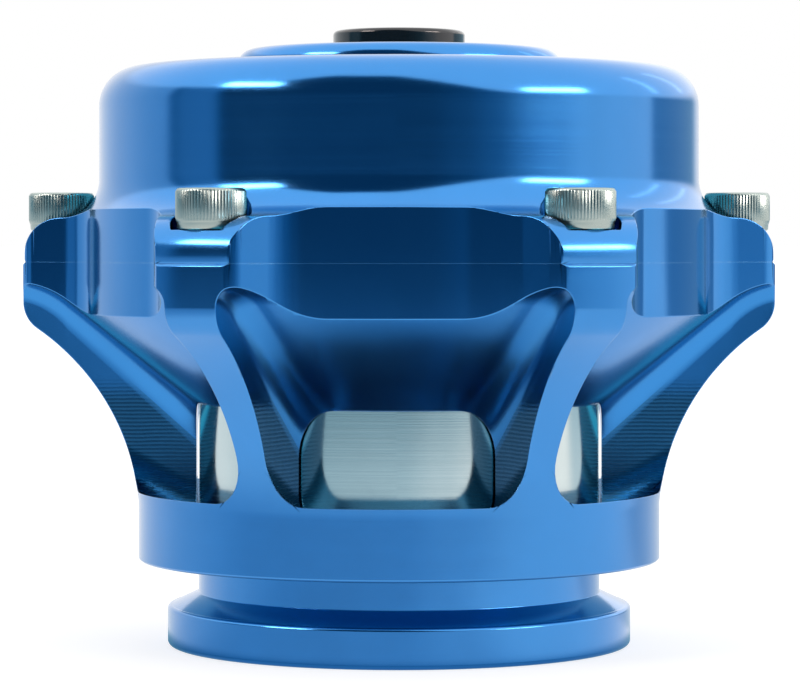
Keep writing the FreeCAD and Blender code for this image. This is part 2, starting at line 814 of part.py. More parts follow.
def seat_ring_centre():
    """Centre of the seat seal's section, just inside the middle of the piston's bevel."""
    inset = dim.seat_ring_depth / root(as_size(2))
    bevel = piston_radius - piston_face_radius
    radius = piston_radius - bevel / 2 - inset
    height = piston_bottom_height + bevel / 2 + inset
    return radius, height


def make_valve_piston():
    body = new_body("valve_piston")
    bevel_top = piston_bottom_height + piston_radius - piston_face_radius
    inner = piston_radius - dim.piston_wall
    crown_top = piston_bottom_height + dim.piston_crown_thickness
    groove_top = guide_ring_bottom_height + dim.guide_ring_height
    groove_radius = piston_radius - dim.guide_ring_depth
    recess_radius = dim.stem_radius + dim.static_gap
    revolve(body, "turned", [
        line_to(valve_screw_hole, counterbore_top),
        line_to(piston_counterbore_radius, counterbore_top),
        line_to(piston_counterbore_radius, piston_bottom_height),
        line_to(piston_face_radius, piston_bottom_height),
        line_to(piston_radius, bevel_top),
        line_to(piston_radius, guide_ring_bottom_height),
        line_to(groove_radius, guide_ring_bottom_height),
        line_to(groove_radius, groove_top),
        line_to(piston_radius, groove_top),
        line_to(piston_radius, piston_top_height),
        line_to(inner, piston_top_height),
        line_to(inner, crown_top + dim.piston_crown_fillet),
        arc_right(inner - dim.piston_crown_fillet, crown_top, dim.piston_crown_fillet),
        line_to(piston_hub_radius, crown_top),
        line_to(piston_hub_radius, piston_hub_top_height),
        line_to(recess_radius, piston_hub_top_height),
        line_to(recess_radius, stem_bottom),
        line_to(valve_screw_hole, stem_bottom),
    ])
    groove_centre_radius, groove_centre_height = seat_ring_centre()
    cut_round_groove(body, "seat_groove", groove_centre_radius, groove_centre_height,
                     dim.seat_ring_cord_radius)
    return body


def make_seat_o_ring():
    radius, height = seat_ring_centre()
    cord = dim.seat_ring_cord_radius - dim.static_gap
    return make_ring_seal("seat_o_ring", radius, height, cord)


def make_plain_ring(name, inner, outer, bottom, height):
    """A ring or washer of rectangular section."""
    body = new_body(name)
    revolve(body, "turned", [
        line_to(inner, bottom),
        line_to(outer, bottom),
        line_to(outer, bottom + height),
        line_to(inner, bottom + height),
    ])
    return body


def make_piston_guide_ring():
    inner = piston_radius - dim.guide_ring_depth + dim.static_gap
    outer = piston_bore_radius - dim.running_gap
    bottom = guide_ring_bottom_height + dim.static_gap
    height = dim.guide_ring_height - dim.static_gap * 2
    return make_plain_ring("piston_guide_ring", inner, outer, bottom, height)


def make_valve_screw():
    body = new_body("valve_screw")
    head_top = counterbore_top - dim.valve_screw_washer_thickness
    head_bottom = head_top - dim.valve_screw_head_height
    shank = new_sketch(body, "valve_screw_shank_sketch", "XY_Plane", head_top)
    draw_circle(shank, 0, 0, dim.valve_screw_radius)
    extrude(body, "shank", shank, stem_bottom - head_top + dim.valve_screw_reach)
    head = new_sketch(body, "valve_screw_head_sketch", "XY_Plane", head_top)
    draw_circle(head, 0, 0, dim.valve_screw_head_radius)
    extrude(body, "head", head, dim.valve_screw_head_height, upward=False)
    dress(body, "head_round", "PartDesign::Fillet", dim.valve_screw_head_height / 2,
          ring_edge(dim.valve_screw_head_radius, head_bottom))
    socket = new_sketch(body, "valve_screw_socket_sketch", "XY_Plane", head_bottom)
    draw_polygon(socket, as_size(0), as_size(0), dim.screw_socket_width)
    extrude(body, "socket", socket, dim.valve_screw_head_height / 2,
            "PartDesign::Pocket", upward=True)
    return body


# Stem with the nut and washer that clamp the diaphragm plates

def make_valve_stem():
    body = new_body("valve_stem")
    thread = stem_thread_radius
    chamfer = dim.stem_chamfer
    hole_top = stem_bottom + dim.valve_screw_reach + dim.drilling_overrun
    revolve(body, "turned", [
        line_to(valve_screw_hole, stem_bottom),
        line_to(dim.stem_radius - chamfer, stem_bottom),
        line_to(dim.stem_radius, stem_bottom + chamfer),
        line_to(dim.stem_radius, lower_plate_bottom),
        line_to(thread, lower_plate_bottom),
        line_to(thread, stem_top_height - chamfer),
        line_to(thread - chamfer, stem_top_height),
        line_to(0, stem_top_height),
        line_to(0, hole_top + valve_screw_hole * dim.drill_point_slope),
        line_to(valve_screw_hole, hole_top),
    ])
    return body


def make_stem_nut():
    body = new_body("stem_nut")
    bottom = stem_nut_bottom
    sketch = new_sketch(body, "stem_nut_sketch", "XY_Plane", bottom)
    draw_polygon(sketch, as_size(0), as_size(0), dim.stem_nut_width)
    extrude(body, "hexagon", sketch, dim.stem_nut_height)
    bore = new_sketch(body, "stem_nut_bore_sketch", "XY_Plane", bottom)
    draw_circle(bore, 0, 0, stem_thread_radius + dim.thread_gap)
    extrude(body, "bore", bore, dim.stem_nut_height, "PartDesign::Pocket", upward=True)
    return body


# Diaphragm and its two plates

def make_diaphragm():
    body = new_body("diaphragm")
    thickness = dim.diaphragm_thickness
    outer_leg = convolution_outer_radius
    centre_x = outer_leg - dim.convolution_radius
    inner_arc = dim.convolution_radius - thickness
    top = diaphragm_top
    revolve(body, "moulded", [
        line_to(stem_hole_radius, diaphragm_bottom),
        line_to(centre_x - inner_arc, diaphragm_bottom),
        line_to(centre_x - inner_arc, top),
        arc_right(centre_x, top + inner_arc, inner_arc),
        arc_right(centre_x + inner_arc, top, inner_arc),
        line_to(centre_x + inner_arc, clamp_floor_height),
        line_to(clamp_radius - dim.static_gap, clamp_floor_height),
        line_to(clamp_radius - dim.static_gap, seam_height),
        line_to(outer_leg, seam_height),
        line_to(outer_leg, top),
        arc_left(centre_x, top + dim.convolution_radius, dim.convolution_radius),
        arc_left(centre_x - dim.convolution_radius, top, dim.convolution_radius),
        line_to(stem_hole_radius, top),
    ])
    return body


def make_lower_diaphragm_plate():
    body = make_plain_ring("lower_diaphragm_plate", stem_hole_radius, lower_plate_radius,
                           lower_plate_bottom, dim.lower_plate_thickness)
    dress(body, "edge", "PartDesign::Fillet", dim.lower_plate_thickness / 3,
          ring_edge(lower_plate_radius, lower_plate_bottom))
    return body


def make_upper_diaphragm_plate():
    body = new_body("upper_diaphragm_plate")
    edge = dim.upper_plate_edge
    lip_top = upper_plate_top + dim.spring_lip_height
    lip_inner = spring_lip_radius - dim.spring_lip_width
    revolve(body, "turned", [
        line_to(stem_hole_radius, diaphragm_top),
        line_to(upper_plate_radius, diaphragm_top),
        line_to(upper_plate_radius, upper_plate_top - edge),
        arc_left(upper_plate_radius - edge, upper_plate_top, edge),
        line_to(spring_lip_radius, upper_plate_top),
        line_to(spring_lip_radius, lip_top),
        line_to(lip_inner, lip_top),
        line_to(lip_inner, upper_plate_top),
        line_to(stem_hole_radius, upper_plate_top),
    ])
    return body


# Spring with flattened end coils, and the ring that centres it

def make_valve_spring():
    wire = dim.spring_wire_radius.number
    radius = spring_mean_radius.number
    turns = dim.spring_turns.number
    bottom = spring_bottom.number
    top = spring_top.number
    closed_turns = dim.spring_closed_turns.number
    closed_rise = wire * 2 + dim.spring_coil_gap.number
    # The ends are ground flat, so the wire's middle starts less than its radius above the seat.
    ground_depth = dim.spring_ground_depth.number
    low = bottom + wire - ground_depth
    high = top - wire + ground_depth
    open_turns = turns - closed_turns * 2
    open_rise = (high - low - closed_rise * closed_turns * 2) / open_turns
    points_per_turn = 16
    points = []
    for index in range(int(turns * points_per_turn) + 1):
        turn = index / points_per_turn
        start_coil = min(turn, closed_turns)
        end_coil = max(turn - (turns - closed_turns), 0.0)
        height = low + (start_coil + end_coil) * closed_rise
        height += (turn - start_coil - end_coil) * open_rise
        angle = math.tau * turn
        points.append(FreeCAD.Vector(radius * math.cos(angle), radius * math.sin(angle), height))
    curve = Part.BSplineCurve()
    curve.interpolate(points)
    start = curve.value(curve.FirstParameter)
    direction = curve.tangent(curve.FirstParameter)[0]
    section = Part.Wire([Part.Circle(start, direction, wire).toShape()])
    coil = Part.Wire([curve.toShape()]).makePipeShell([section], True, True)
    outside = radius + wire * 2
    grinding = Part.makeCylinder(outside, top - bottom, FreeCAD.Vector(0, 0, bottom))
    spring = document.addObject("Part::Feature", "valve_spring")
    spring.Label = "valve_spring"
    spring.Shape = coil.common(grinding)
    return spring


def make_spring_seat_ring():
    body = new_body("spring_seat_ring")
    outer = spring_mean_radius + dim.spring_wire_radius + dim.spring_seat_flange
    lip_inner = spring_lip_radius - dim.spring_lip_width
    lip_bottom = spring_top - dim.spring_lip_height
    revolve(body, "turned", [
        line_to(lip_inner, lip_bottom),
        line_to(spring_lip_radius, lip_bottom),
        line_to(spring_lip_radius, spring_top),
        line_to(outer, spring_top),
        line_to(outer, ceiling_height),
        line_to(lip_inner, ceiling_height),
    ])
    return body


# Bushings, stem seal and circlip in the guide

def make_bushing(name, bottom):
    inner = dim.stem_radius + dim.running_gap
    outer = guide_bore_radius - dim.static_gap
    return make_plain_ring(name, inner, outer, bottom, dim.bushing_length)


def make_stem_seal():
    cord = (guide_bore_radius - dim.stem_radius) / 2 - dim.running_gap
    mean = (guide_bore_radius + dim.stem_radius) / 2
    seat = lower_bushing_height + dim.bushing_length
    return make_ring_seal("stem_seal", mean, seat + cord + dim.running_gap, cord)


def make_bushing_circlip():
    outer = guide_bore_radius + dim.circlip_groove_depth - dim.running_gap
    body = make_plain_ring("bushing_circlip", circlip_inner_radius, outer,
                           circlip_bottom, dim.circlip_thickness)
    half = dim.circlip_opening / 2
    opening = new_sketch(body, "circlip_opening_sketch", "XY_Plane", circlip_bottom)
    draw_outline(opening, [
        line_to(circlip_inner_radius / 2, -half),
        line_to(outer + dim.drilling_overrun, -half),
        line_to(outer + dim.drilling_overrun, half),
        line_to(circlip_inner_radius / 2, half),
    ])
    extrude(body, "opening", opening, dim.circlip_thickness, "PartDesign::Pocket", upward=True)
    return body


def make_parts():
    washer_bottom = counterbore_top - dim.valve_screw_washer_thickness
    washer_hole = dim.valve_screw_radius + dim.valve_screw_washer_gap
    return [
        make_valve_body(),
        make_upper_housing(),
        make_cap_screws(),
        make_signal_port_fitting(),
        make_port_o_ring(),
        make_valve_piston(),
        make_seat_o_ring(),
        make_piston_guide_ring(),
        make_plain_ring("valve_screw_washer", washer_hole, dim.valve_screw_washer_radius,
                        washer_bottom, dim.valve_screw_washer_thickness),
        make_valve_screw(),
        make_valve_stem(),
        make_lower_diaphragm_plate(),
        make_diaphragm(),
        make_upper_diaphragm_plate(),
        make_plain_ring("stem_nut_washer", stem_hole_radius, dim.stem_washer_radius,
                        upper_plate_top, dim.stem_washer_thickness),
        make_stem_nut(),
        make_valve_spring(),
        make_spring_seat_ring(),
        make_bushing("lower_stem_bushing", lower_bushing_height),
        make_bushing("upper_stem_bushing", upper_bushing_height),
        make_stem_seal(),
        make_bushing_circlip(),
    ]


def check(parts):
    """Stops on any failed object, and on any empty or invalid sub-part."""
    document.recompute()
    for item in document.Objects:
        if "Invalid" in item.State or "Error" in item.State:
            raise RuntimeError(f"{item.Label}: {item.State}")
    for part in parts:
        shape = part.Shape
        if shape.isNull() or not shape.isValid() or not shape.Solids:
            raise RuntimeError(f"{part.Label}: the shape is not a valid solid")


def export(parts):
    os.makedirs("parts", exist_ok=True)
    for part in parts:
        part.Shape.exportStep(f"parts/{part.Label}.step")
        print(part.Label, len(part.Shape.Solids), round(part.Shape.Volume, 3))


def main():
    parts = make_parts()
    check(parts)
    export(parts)


main()
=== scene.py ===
import logging
import math
from dataclasses import dataclass, field
from enum import Enum
from typing import Iterable, Sequence

import bmesh
import bpy
import numpy as np
from mathutils import Matrix, Vector


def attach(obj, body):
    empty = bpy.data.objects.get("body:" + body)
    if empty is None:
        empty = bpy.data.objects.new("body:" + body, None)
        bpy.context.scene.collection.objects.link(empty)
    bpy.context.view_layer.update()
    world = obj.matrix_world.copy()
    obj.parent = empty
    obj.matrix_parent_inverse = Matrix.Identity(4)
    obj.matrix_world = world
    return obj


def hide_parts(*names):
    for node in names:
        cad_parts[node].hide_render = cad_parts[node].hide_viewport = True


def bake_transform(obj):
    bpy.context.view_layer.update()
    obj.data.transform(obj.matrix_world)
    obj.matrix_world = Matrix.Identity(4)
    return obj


# Blow-off valve: the finished look of every piece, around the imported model.
# Sizes are in millimetres and angles in degrees; meshes are in metres, +Z up, front towards -Y.

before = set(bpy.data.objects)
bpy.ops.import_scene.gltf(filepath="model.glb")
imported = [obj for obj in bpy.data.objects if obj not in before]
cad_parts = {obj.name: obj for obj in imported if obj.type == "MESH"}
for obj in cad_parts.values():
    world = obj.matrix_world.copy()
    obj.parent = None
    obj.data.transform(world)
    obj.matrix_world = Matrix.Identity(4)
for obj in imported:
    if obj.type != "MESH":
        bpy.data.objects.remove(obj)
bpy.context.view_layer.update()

log = logging.getLogger("blow_off_valve")
MM = 0.001
FULL_TURN = math.tau
WHITE = (1.0, 1.0, 1.0, 1.0)
BLACK = (0.0, 0.0, 0.0, 1.0)

# How finely meshes are made and cleaned; the first two lengths are in metres.
SAME_PLACE = 1e-7
NO_LENGTH = 1e-8
MERGE_DISTANCE = 0.012
SLIVER_LENGTH = 0.004
LEVEL_SLACK = 0.01
TURN_STEPS = 288
ROUND_FACES = 2

# Sizes that several pieces share.
LOBES = 6
SEAM = 49.6
CHAMBER_RADIUS = 35.5
BOSS_TOP = 77.2

Point = tuple[float, float]
Colour = tuple[float, float, float]
Object = bpy.types.Object
Material = bpy.types.Material
Tree = bpy.types.NodeTree
Socket = bpy.types.NodeSocket


# Outlines and meshes

class Side(Enum):
    """The side of an arc's centre, seen along the way it is drawn."""

    LEFT = 1
    RIGHT = -1


class Outline:
    """A closed outline of straight lines and arcs."""

    def __init__(self, x: float, y: float, arc_step: float = 6.0) -> None:
        """Starts the outline.

        Args:
            x: the first corner's distance across.
            y: the first corner's height.
            arc_step: the most degrees that one piece of an arc turns.
        """
        self.points: list[Point] = [(x, y)]
        self.arc_step = arc_step

    def line(self, *corners: float) -> "Outline":
        """Draws straight lines.

        Args:
            corners: the x and y of each next corner in turn.

        Returns:
            The outline itself.
        """
        self.points.extend(zip(corners[::2], corners[1::2]))
        return self

    def arc(self, x: float, y: float, radius: float, side: Side) -> "Outline":
        """Draws an arc shorter than a half turn.

        Args:
            x: where the arc ends, across.
            y: where the arc ends, in height.
            radius: the arc's radius.
            side: the side that its centre is on.

        Returns:
            The outline itself.
        """
        start_x, start_y = self.points[-1]
        half_x, half_y = (x - start_x) / 2, (y - start_y) / 2
        half = math.hypot(half_x, half_y)
        rise = math.sqrt(max(radius**2 - half**2, 0.0)) * side.value / half
        centre_x = start_x + half_x - half_y * rise
        centre_y = start_y + half_y + half_x * rise
        first = math.atan2(start_y - centre_y, start_x - centre_x)
        turn = (math.atan2(y - centre_y, x - centre_x) - first) * side.value % FULL_TURN
        steps = max(2, math.ceil(math.degrees(turn) / self.arc_step))
        for index in range(1, steps + 1):
            angle = first + side.value * turn * index / steps
            self.points.append((centre_x + radius * math.cos(angle),
                                centre_y + radius * math.sin(angle)))
        return self


def linked(name: str, data: bpy.types.ID) -> Object:
    """Makes an object of a mesh or a camera, and links it to the scene."""
    made = bpy.data.objects.new(name, data)
    bpy.context.scene.collection.objects.link(made)
    return made


def plain_object(name: str, vertices: np.ndarray,
                 faces: Iterable[Sequence[int]]) -> Object:
    """Makes a mesh object with its doubles merged and its faces pointing out.

    Args:
        name: the object's name.
        vertices: one row of x, y and z for each vertex, in millimetres.
        faces: the vertex numbers of each face.

    Returns:
        The new object, linked to the scene.
    """
    mesh = bpy.data.meshes.new(name)
    corners = (np.asarray(vertices, float) * MM).tolist()
    mesh.from_pydata(corners, [], [list(face) for face in faces])
    work = bmesh.new()
    work.from_mesh(mesh)
    bmesh.ops.remove_doubles(work, verts=work.verts, dist=SAME_PLACE)
    bmesh.ops.dissolve_degenerate(work, edges=work.edges, dist=NO_LENGTH)
    bmesh.ops.recalc_face_normals(work, faces=work.faces)
    work.to_mesh(mesh)
    work.free()
    return linked(name, mesh)


def bands(count: int, rows: int, joined: bool = False) -> list[Sequence[int]]:
    """Lays four-cornered faces between neighbouring rows of vertices.

    Args:
        count: the number of vertices in each row, which closes in itself.
        rows: the number of rows.
        joined: whether the last row also joins the first.

    Returns:
        The faces, row by row.
    """
    return [(a * count + k, a * count + (k + 1) % count,
             (a + 1) % rows * count + (k + 1) % count, (a + 1) % rows * count + k)
            for a in range(rows if joined else rows - 1) for k in range(count)]


def turned(name: str, outline: Outline, steps: int = TURN_STEPS,
           sector: Point | None = None) -> Object:
    """Turns an outline of radius and height about the vertical axis.

    Args:
        name: the object's name.
        outline: the closed section.
        steps: the number of steps in a full turn.
        sector: the first and last angle of a part turn with flat ends, or None for a full turn.

    Returns:
        The turned object.
    """
    section = np.array(outline.points)
    count = len(section)
    first, last = sector or (0.0, 360.0)
    pieces = max(1, round(steps * (last - first) / 360.0))
    stations = pieces if sector is None else pieces + 1
    angles = np.radians(first + (last - first) * np.arange(stations) / pieces)
    x = np.outer(np.sin(angles), section[:, 0])
    y = -np.outer(np.cos(angles), section[:, 0])
    z = np.tile(section[:, 1], (stations, 1))
    vertices = np.stack([x, y, z], axis=-1).reshape(-1, 3)
    faces = bands(count, stations, sector is None)
    if sector is not None:
        faces += [range(count), range(pieces * count, stations * count)]
    return plain_object(name, vertices, faces)


def lofted(name: str, sections: Sequence[np.ndarray]) -> Object:
    """Joins closed sections of equal length into one solid with flat or fanned ends.

    Args:
        name: the object's name.
        sections: one array of x, y, z rows for each section.

    Returns:
        The lofted object.
    """
    count = len(sections[0])
    ends = [sections[0].mean(axis=0), sections[-1].mean(axis=0)]
    vertices = np.vstack([*sections, *ends])
    low, high = len(vertices) - 2, len(vertices) - 1
    last = (len(sections) - 1) * count
    sides = bands(count, len(sections))
    faces: list[Sequence[int]] = []
    for k in range(count):
        following = (k + 1) % count
        faces += sides[k::count]
        faces += [(low, following, k), (high, last + k, last + following)]
    return plain_object(name, vertices, faces)


def prism(name: str, plan: Sequence[Point], bottom: float, top: float) -> Object:
    """Raises a plan outline into a solid.

    Args:
        name: the object's name.
        plan: the corners of the plan.
        bottom: the lower height.
        top: the upper height.

    Returns:
        The solid.
    """
    flat = np.array(plan)
    count = len(flat)
    vertices = np.vstack([np.column_stack([flat, np.full(count, height)])
                          for height in (bottom, top)])
    return plain_object(name, vertices,
                        [range(count), range(count, 2 * count), *bands(count, 2)])


def settled(made: Object) -> Object:
    """Replaces an object's mesh by what its modifiers make of it, and removes them."""
    depsgraph = bpy.context.evaluated_depsgraph_get()
    mesh = bpy.data.meshes.new_from_object(made.evaluated_get(depsgraph), depsgraph=depsgraph)
    made.modifiers.clear()
    made.data = mesh
    return made


def cut(blank: Object, *tools: Object) -> None:
    """Cuts tools out of a blank; the cut faces take the tools' materials.

    Args:
        blank: the solid that stays.
        tools: the solids that are cut away, and then removed.
    """
    for tool in tools:
        step = blank.modifiers.new(tool.name, "BOOLEAN")
        step.operation = "DIFFERENCE"
        step.solver = "MANIFOLD"
        step.material_mode = "TRANSFER"
        step.object = tool
        settled(blank)
        bpy.data.objects.remove(tool)


def eased(made: Object, width: float, angle: float = 28.0,
          keen_height: float | None = None, keen_share: float = 0.12) -> None:
    """Breaks the sharp edges with a small round, and shades the rest smoothly.

    Args:
        made: the piece.
        width: the width of the rounds.
        angle: the least angle of an edge that is broken.
        keen_height: the height of level edges that stay keener, if any.
        keen_share: the share of the width that they get.
    """
    work = bmesh.new()
    work.from_mesh(made.data)
    bmesh.ops.remove_doubles(work, verts=work.verts, dist=MERGE_DISTANCE * MM)
    bmesh.ops.dissolve_degenerate(work, edges=work.edges, dist=SLIVER_LENGTH * MM)
    share = work.edges.layers.float.new("bevel_weight_edge")
    for edge in work.edges:
        if edge.calc_face_angle(0.0) > math.radians(angle):
            keen = keen_height is not None and all(
                abs(vertex.co.z - keen_height * MM) < LEVEL_SLACK * MM for vertex in edge.verts)
            edge[share] = keen_share if keen else 1.0
    work.to_mesh(made.data)
    work.free()
    made.data.shade_smooth()
    bevel = made.modifiers.new("broken_edges", "BEVEL")
    bevel.width = width * MM
    bevel.segments = ROUND_FACES
    bevel.limit_method = "WEIGHT"
    bevel.use_clamp_overlap = False
    bevel.miter_outer = "MITER_ARC"
    weighted = made.modifiers.new("even_shading", "WEIGHTED_NORMAL")
    weighted.mode = "FACE_AREA_WITH_ANGLE"
    weighted.weight = 90
    weighted.keep_sharp = False
    settled(made)


# Node trees

@dataclass(frozen=True)
class Value:
    """A node's output to reckon with; each operator adds a Math node to its tree."""

    graph: "Graph"
    socket: Socket

    def __add__(self, other: "Number") -> "Value":
        """Adds another value or a number."""
        return self.graph.math("ADD", self, other)

    def __sub__(self, other: "Number") -> "Value":
        """Takes another value or a number away."""
        return self.graph.math("SUBTRACT", self, other)

    def __mul__(self, other: "Number") -> "Value":
        """Multiplies by another value or a number."""
        return self.graph.math("MULTIPLY", self, other)

    def __truediv__(self, other: "Number") -> "Value":
        """Divides by another value or a number."""
        return self.graph.math("DIVIDE", self, other)


Number = float | Value
Inputs = dict[str | int, object]


class Graph:
    """Places and joins the nodes of one tree."""

    def __init__(self, tree: Tree) -> None:
        """Starts with an empty tree.

        Args:
            tree: the tree, whose nodes are cleared.
        """
        self.tree = tree
        tree.nodes.clear()

    def fill(self, socket: Socket, value: object) -> None:
        """Links a value to an input, or sets the input to a constant."""
        if isinstance(value, Value):
            self.tree.links.new(value.socket, socket)
        else:
            socket.default_value = value

    def node(self, kind: str, inputs: Inputs | None = None, **settings: object) -> bpy.types.Node:
        """Adds a node.

        Args:
            kind: the node's type.
            inputs: a value or a constant for each named or numbered socket.
            settings: the node's own settings.

        Returns:
            The node.
        """
        made = self.tree.nodes.new(kind)
        for name, setting in settings.items():
            setattr(made, name, setting)
        for key, value in (inputs or {}).items():
            self.fill(made.inputs[key], value)
        return made

    def value(self, kind: str, inputs: Inputs | None = None, output: str | int = 0,
              **settings: object) -> Value:
        """Adds a node and returns one of its outputs."""
        return Value(self, self.node(kind, inputs, **settings).outputs[output])

    def values(self, kind: str, inputs: Inputs | None = None,
               **settings: object) -> dict[str, Value]:
        """Adds a node and returns its outputs by name."""
        made = self.node(kind, inputs, **settings)
        return {socket.name: Value(self, socket) for socket in made.outputs}

    def math(self, operation: str, *terms: Number, clamp: bool = False) -> Value:
        """Adds a Math node."""
        return self.value("ShaderNodeMath", dict(enumerate(terms)), operation=operation,
                          use_clamp=clamp)

    def vector(self, x: Number, y: Number, z: Number) -> Value:
        """Joins three numbers to a vector."""
        return self.value("ShaderNodeCombineXYZ", {0: x, 1: y, 2: z})

    def split(self, vector: Value) -> tuple[Value, Value, Value]:
        """Splits a vector into its three numbers."""
        return tuple(self.values("ShaderNodeSeparateXYZ", {0: vector}).values())

    def reach(self, x: Value, y: Value) -> Value:
        """Works out the distance from the vertical axis."""
        return self.math("SQRT", x * x + y * y)

    def noise(self, vector: Value, scale: Number, detail: float = 2.0,
              roughness: float = 0.5) -> Value:
        """Adds a noise texture and returns its value."""
        return self.value("ShaderNodeTexNoise", {"Vector": vector, "Scale": scale,
                                                 "Detail": detail, "Roughness": roughness})

    def ranged(self, value: Value, low: float, high: float, new_low: float = 0.0,
               new_high: float = 1.0, smooth: bool = False) -> Value:
        """Maps a value from one range to another, held at both ends."""
        kind = "SMOOTHSTEP" if smooth else "LINEAR"
        return self.value("ShaderNodeMapRange", {0: value, 1: low, 2: high, 3: new_low,
                                                 4: new_high}, interpolation_type=kind)

    def mixed(self, share: Number, first: object, second: object) -> Value:
        """Mixes two colours."""
        made = self.node("ShaderNodeMix", data_type="RGBA")
        sockets = {item.identifier: item for item in (*made.inputs, *made.outputs)}
        self.fill(sockets["Factor_Float"], share)
        self.fill(sockets["A_Color"], first)
        self.fill(sockets["B_Color"], second)
        return Value(self, sockets["Result_Color"])

    def combined(self, operation: str, first: object, second: object) -> Value:
        """Adds a Vector Math node for two colours, or for a colour and a number."""
        return self.value("ShaderNodeVectorMath", {0: first, 1: second}, operation=operation)

    def ramp(self, value: Value, stops: Sequence[Point]) -> Value:
        """Adds a grey ramp, each stop a place from 0 to 1 and a brightness."""
        made = self.node("ShaderNodeValToRGB", {0: value})
        made.color_ramp.interpolation = "EASE"
        while len(made.color_ramp.elements) < len(stops):
            made.color_ramp.elements.new(0.5)
        for element, (place, level) in zip(made.color_ramp.elements, stops):
            element.position = place
            element.color = (level, level, level, 1.0)
        return Value(self, made.outputs[0])

    def give(self, results: dict[str, Value]) -> Tree:
        """Ends a group with its results, by the names of its outputs."""
        self.node("NodeGroupOutput", results)
        return self.tree

    def give_solid(self, geometry: Value, material: Value) -> Tree:
        """Ends a geometry group with real geometry of one material."""
        whole = self.value("GeometryNodeRealizeInstances", {0: geometry})
        coated = self.value("GeometryNodeSetMaterial", {"Geometry": whole, "Material": material})
        return self.give({"Geometry": coated})


def group_tree(name: str, kind: str, inputs: dict[str, tuple[str, object]],
               *outputs: str) -> tuple[Graph, dict[str, Value]]:
    """Starts a node group with named sockets.

    Args:
        name: the group's name.
        kind: the type of its tree.
        inputs: the kind of socket and the first value of each input.
        outputs: the name of each output, a number unless it is the geometry.

    Returns:
        The graph and its inputs by name.
    """
    tree = bpy.data.node_groups.new(name, kind)
    graph = Graph(tree)
    for title, (socket, value) in inputs.items():
        item = tree.interface.new_socket(name=title, in_out="INPUT",
                                         socket_type="NodeSocket" + socket)
        if value is not None:
            item.default_value = value
    for title in outputs:
        socket = "NodeSocketGeometry" if title == "Geometry" else "NodeSocketFloat"
        tree.interface.new_socket(name=title, in_out="OUTPUT", socket_type=socket)
    return graph, graph.values("NodeGroupInput")


class Effects:
    """Shader groups that several finishes share."""

    def __init__(self) -> None:
        """Builds each group once."""
        self.turning = self.make_turning()
        self.milling = self.make_milling()
        self.grain = self.make_grain()
        self.wear_and_highlight = self.make_wear_and_highlight()

    @staticmethod
    def make_turning() -> Tree:
        """Fine rings of a lathe tool about the vertical axis, as a height from 0 to 1."""
        graph, given = group_tree(
            "turning_marks", "ShaderNodeTree",
            {"Vector": ("Vector", None), "Pitch": ("Float", 0.0002)}, "Height")
        x, y, z = graph.split(given["Vector"])
        fade_along_ring, fine_share, broad_share = 0.35, 0.7, 0.3
        place = graph.vector(graph.reach(x, y) / given["Pitch"], z / given["Pitch"],
                             graph.math("ARCTAN2", x, y) * fade_along_ring)
        fine = graph.noise(place, 1.0, detail=3.0, roughness=0.6)
        broad = graph.noise(place, 0.09)
        return graph.give({"Height": fine * fine_share + broad * broad_share})

    @staticmethod
    def make_milling() -> Tree:
        """Wavy level steps of a cutter low on upright walls, as a height, and where they are."""
        graph, given = group_tree(
            "milling_steps", "ShaderNodeTree",
            {"Vector": ("Vector", None), "Pitch": ("Float", 0.0005),
             "Waviness": ("Float", 0.5), "Top": ("Float", 0.034)},
            "Height", "Share")
        x, y, z = graph.split(given["Vector"])
        sway_scale, chatter_around, chatter_up = 260.0, 1900.0, 1500.0
        step_height, chatter_height = 1.4, 0.5
        level = z / given["Pitch"] + graph.noise(given["Vector"], sway_scale) * given["Waviness"]
        step = graph.math("PINGPONG", level, 0.5)
        chatter = graph.noise(graph.vector(x * chatter_around, y * chatter_around,
                                           z * chatter_up), 1.0)
        normal_z = graph.split(graph.value("ShaderNodeNewGeometry", output="True Normal"))[2]
        upright = graph.ranged(normal_z, -0.14, -0.03, smooth=True)
        below = graph.ranged(given["Top"] - z, -0.001, 0.003, smooth=True)
        share = upright * below
        return graph.give({"Height": (step * step_height + chatter * chatter_height) * share,
                           "Share": share})

    @staticmethod
    def make_grain() -> Tree:
        """The fine etched grain of the metal, as a height, and faint marks of handling."""
        graph, given = group_tree(
            "metal_grain", "ShaderNodeTree",
            {"Vector": ("Vector", None), "Size": ("Float", 0.0002)},
            "Height", "Marks")
        speckle = graph.noise(given["Vector"], graph.math("DIVIDE", 1.0, given["Size"]),
                              detail=3.0, roughness=0.7)
        marks = graph.noise(given["Vector"], 70.0, detail=4.0, roughness=0.62)
        return graph.give({"Height": speckle, "Marks": graph.ranged(marks, 0.35, 0.7)})

    @staticmethod
    def make_wear_and_highlight() -> Tree:
        """A mask of the edges, broken up as rubbing leaves them; it carries both edge wear and a
        painted edge highlight.
        """
        graph, given = group_tree(
            "edge_wear_and_highlight", "ShaderNodeTree",
            {"Vector": ("Vector", None), "Width": ("Float", 0.0003)}, "Mask")
        rounded = graph.value("ShaderNodeBevel", {"Radius": given["Width"]}, samples=4)
        normal = graph.value("ShaderNodeNewGeometry", output="Normal")
        likeness = graph.value("ShaderNodeVectorMath", {0: rounded, 1: normal}, output="Value",
                               operation="DOT_PRODUCT")
        edge = graph.ranged(likeness, 0.99, 0.8)
        patches = graph.ranged(graph.noise(given["Vector"], 900.0, detail=3.0),
                               0.35, 0.6, 0.25, 1.0)
        return graph.give({"Mask": edge * patches})


class Marks(Enum):
    """The tool marks on a finish."""

    NONE = "none"
    TURNED = "turned"
    MILLED = "milled"


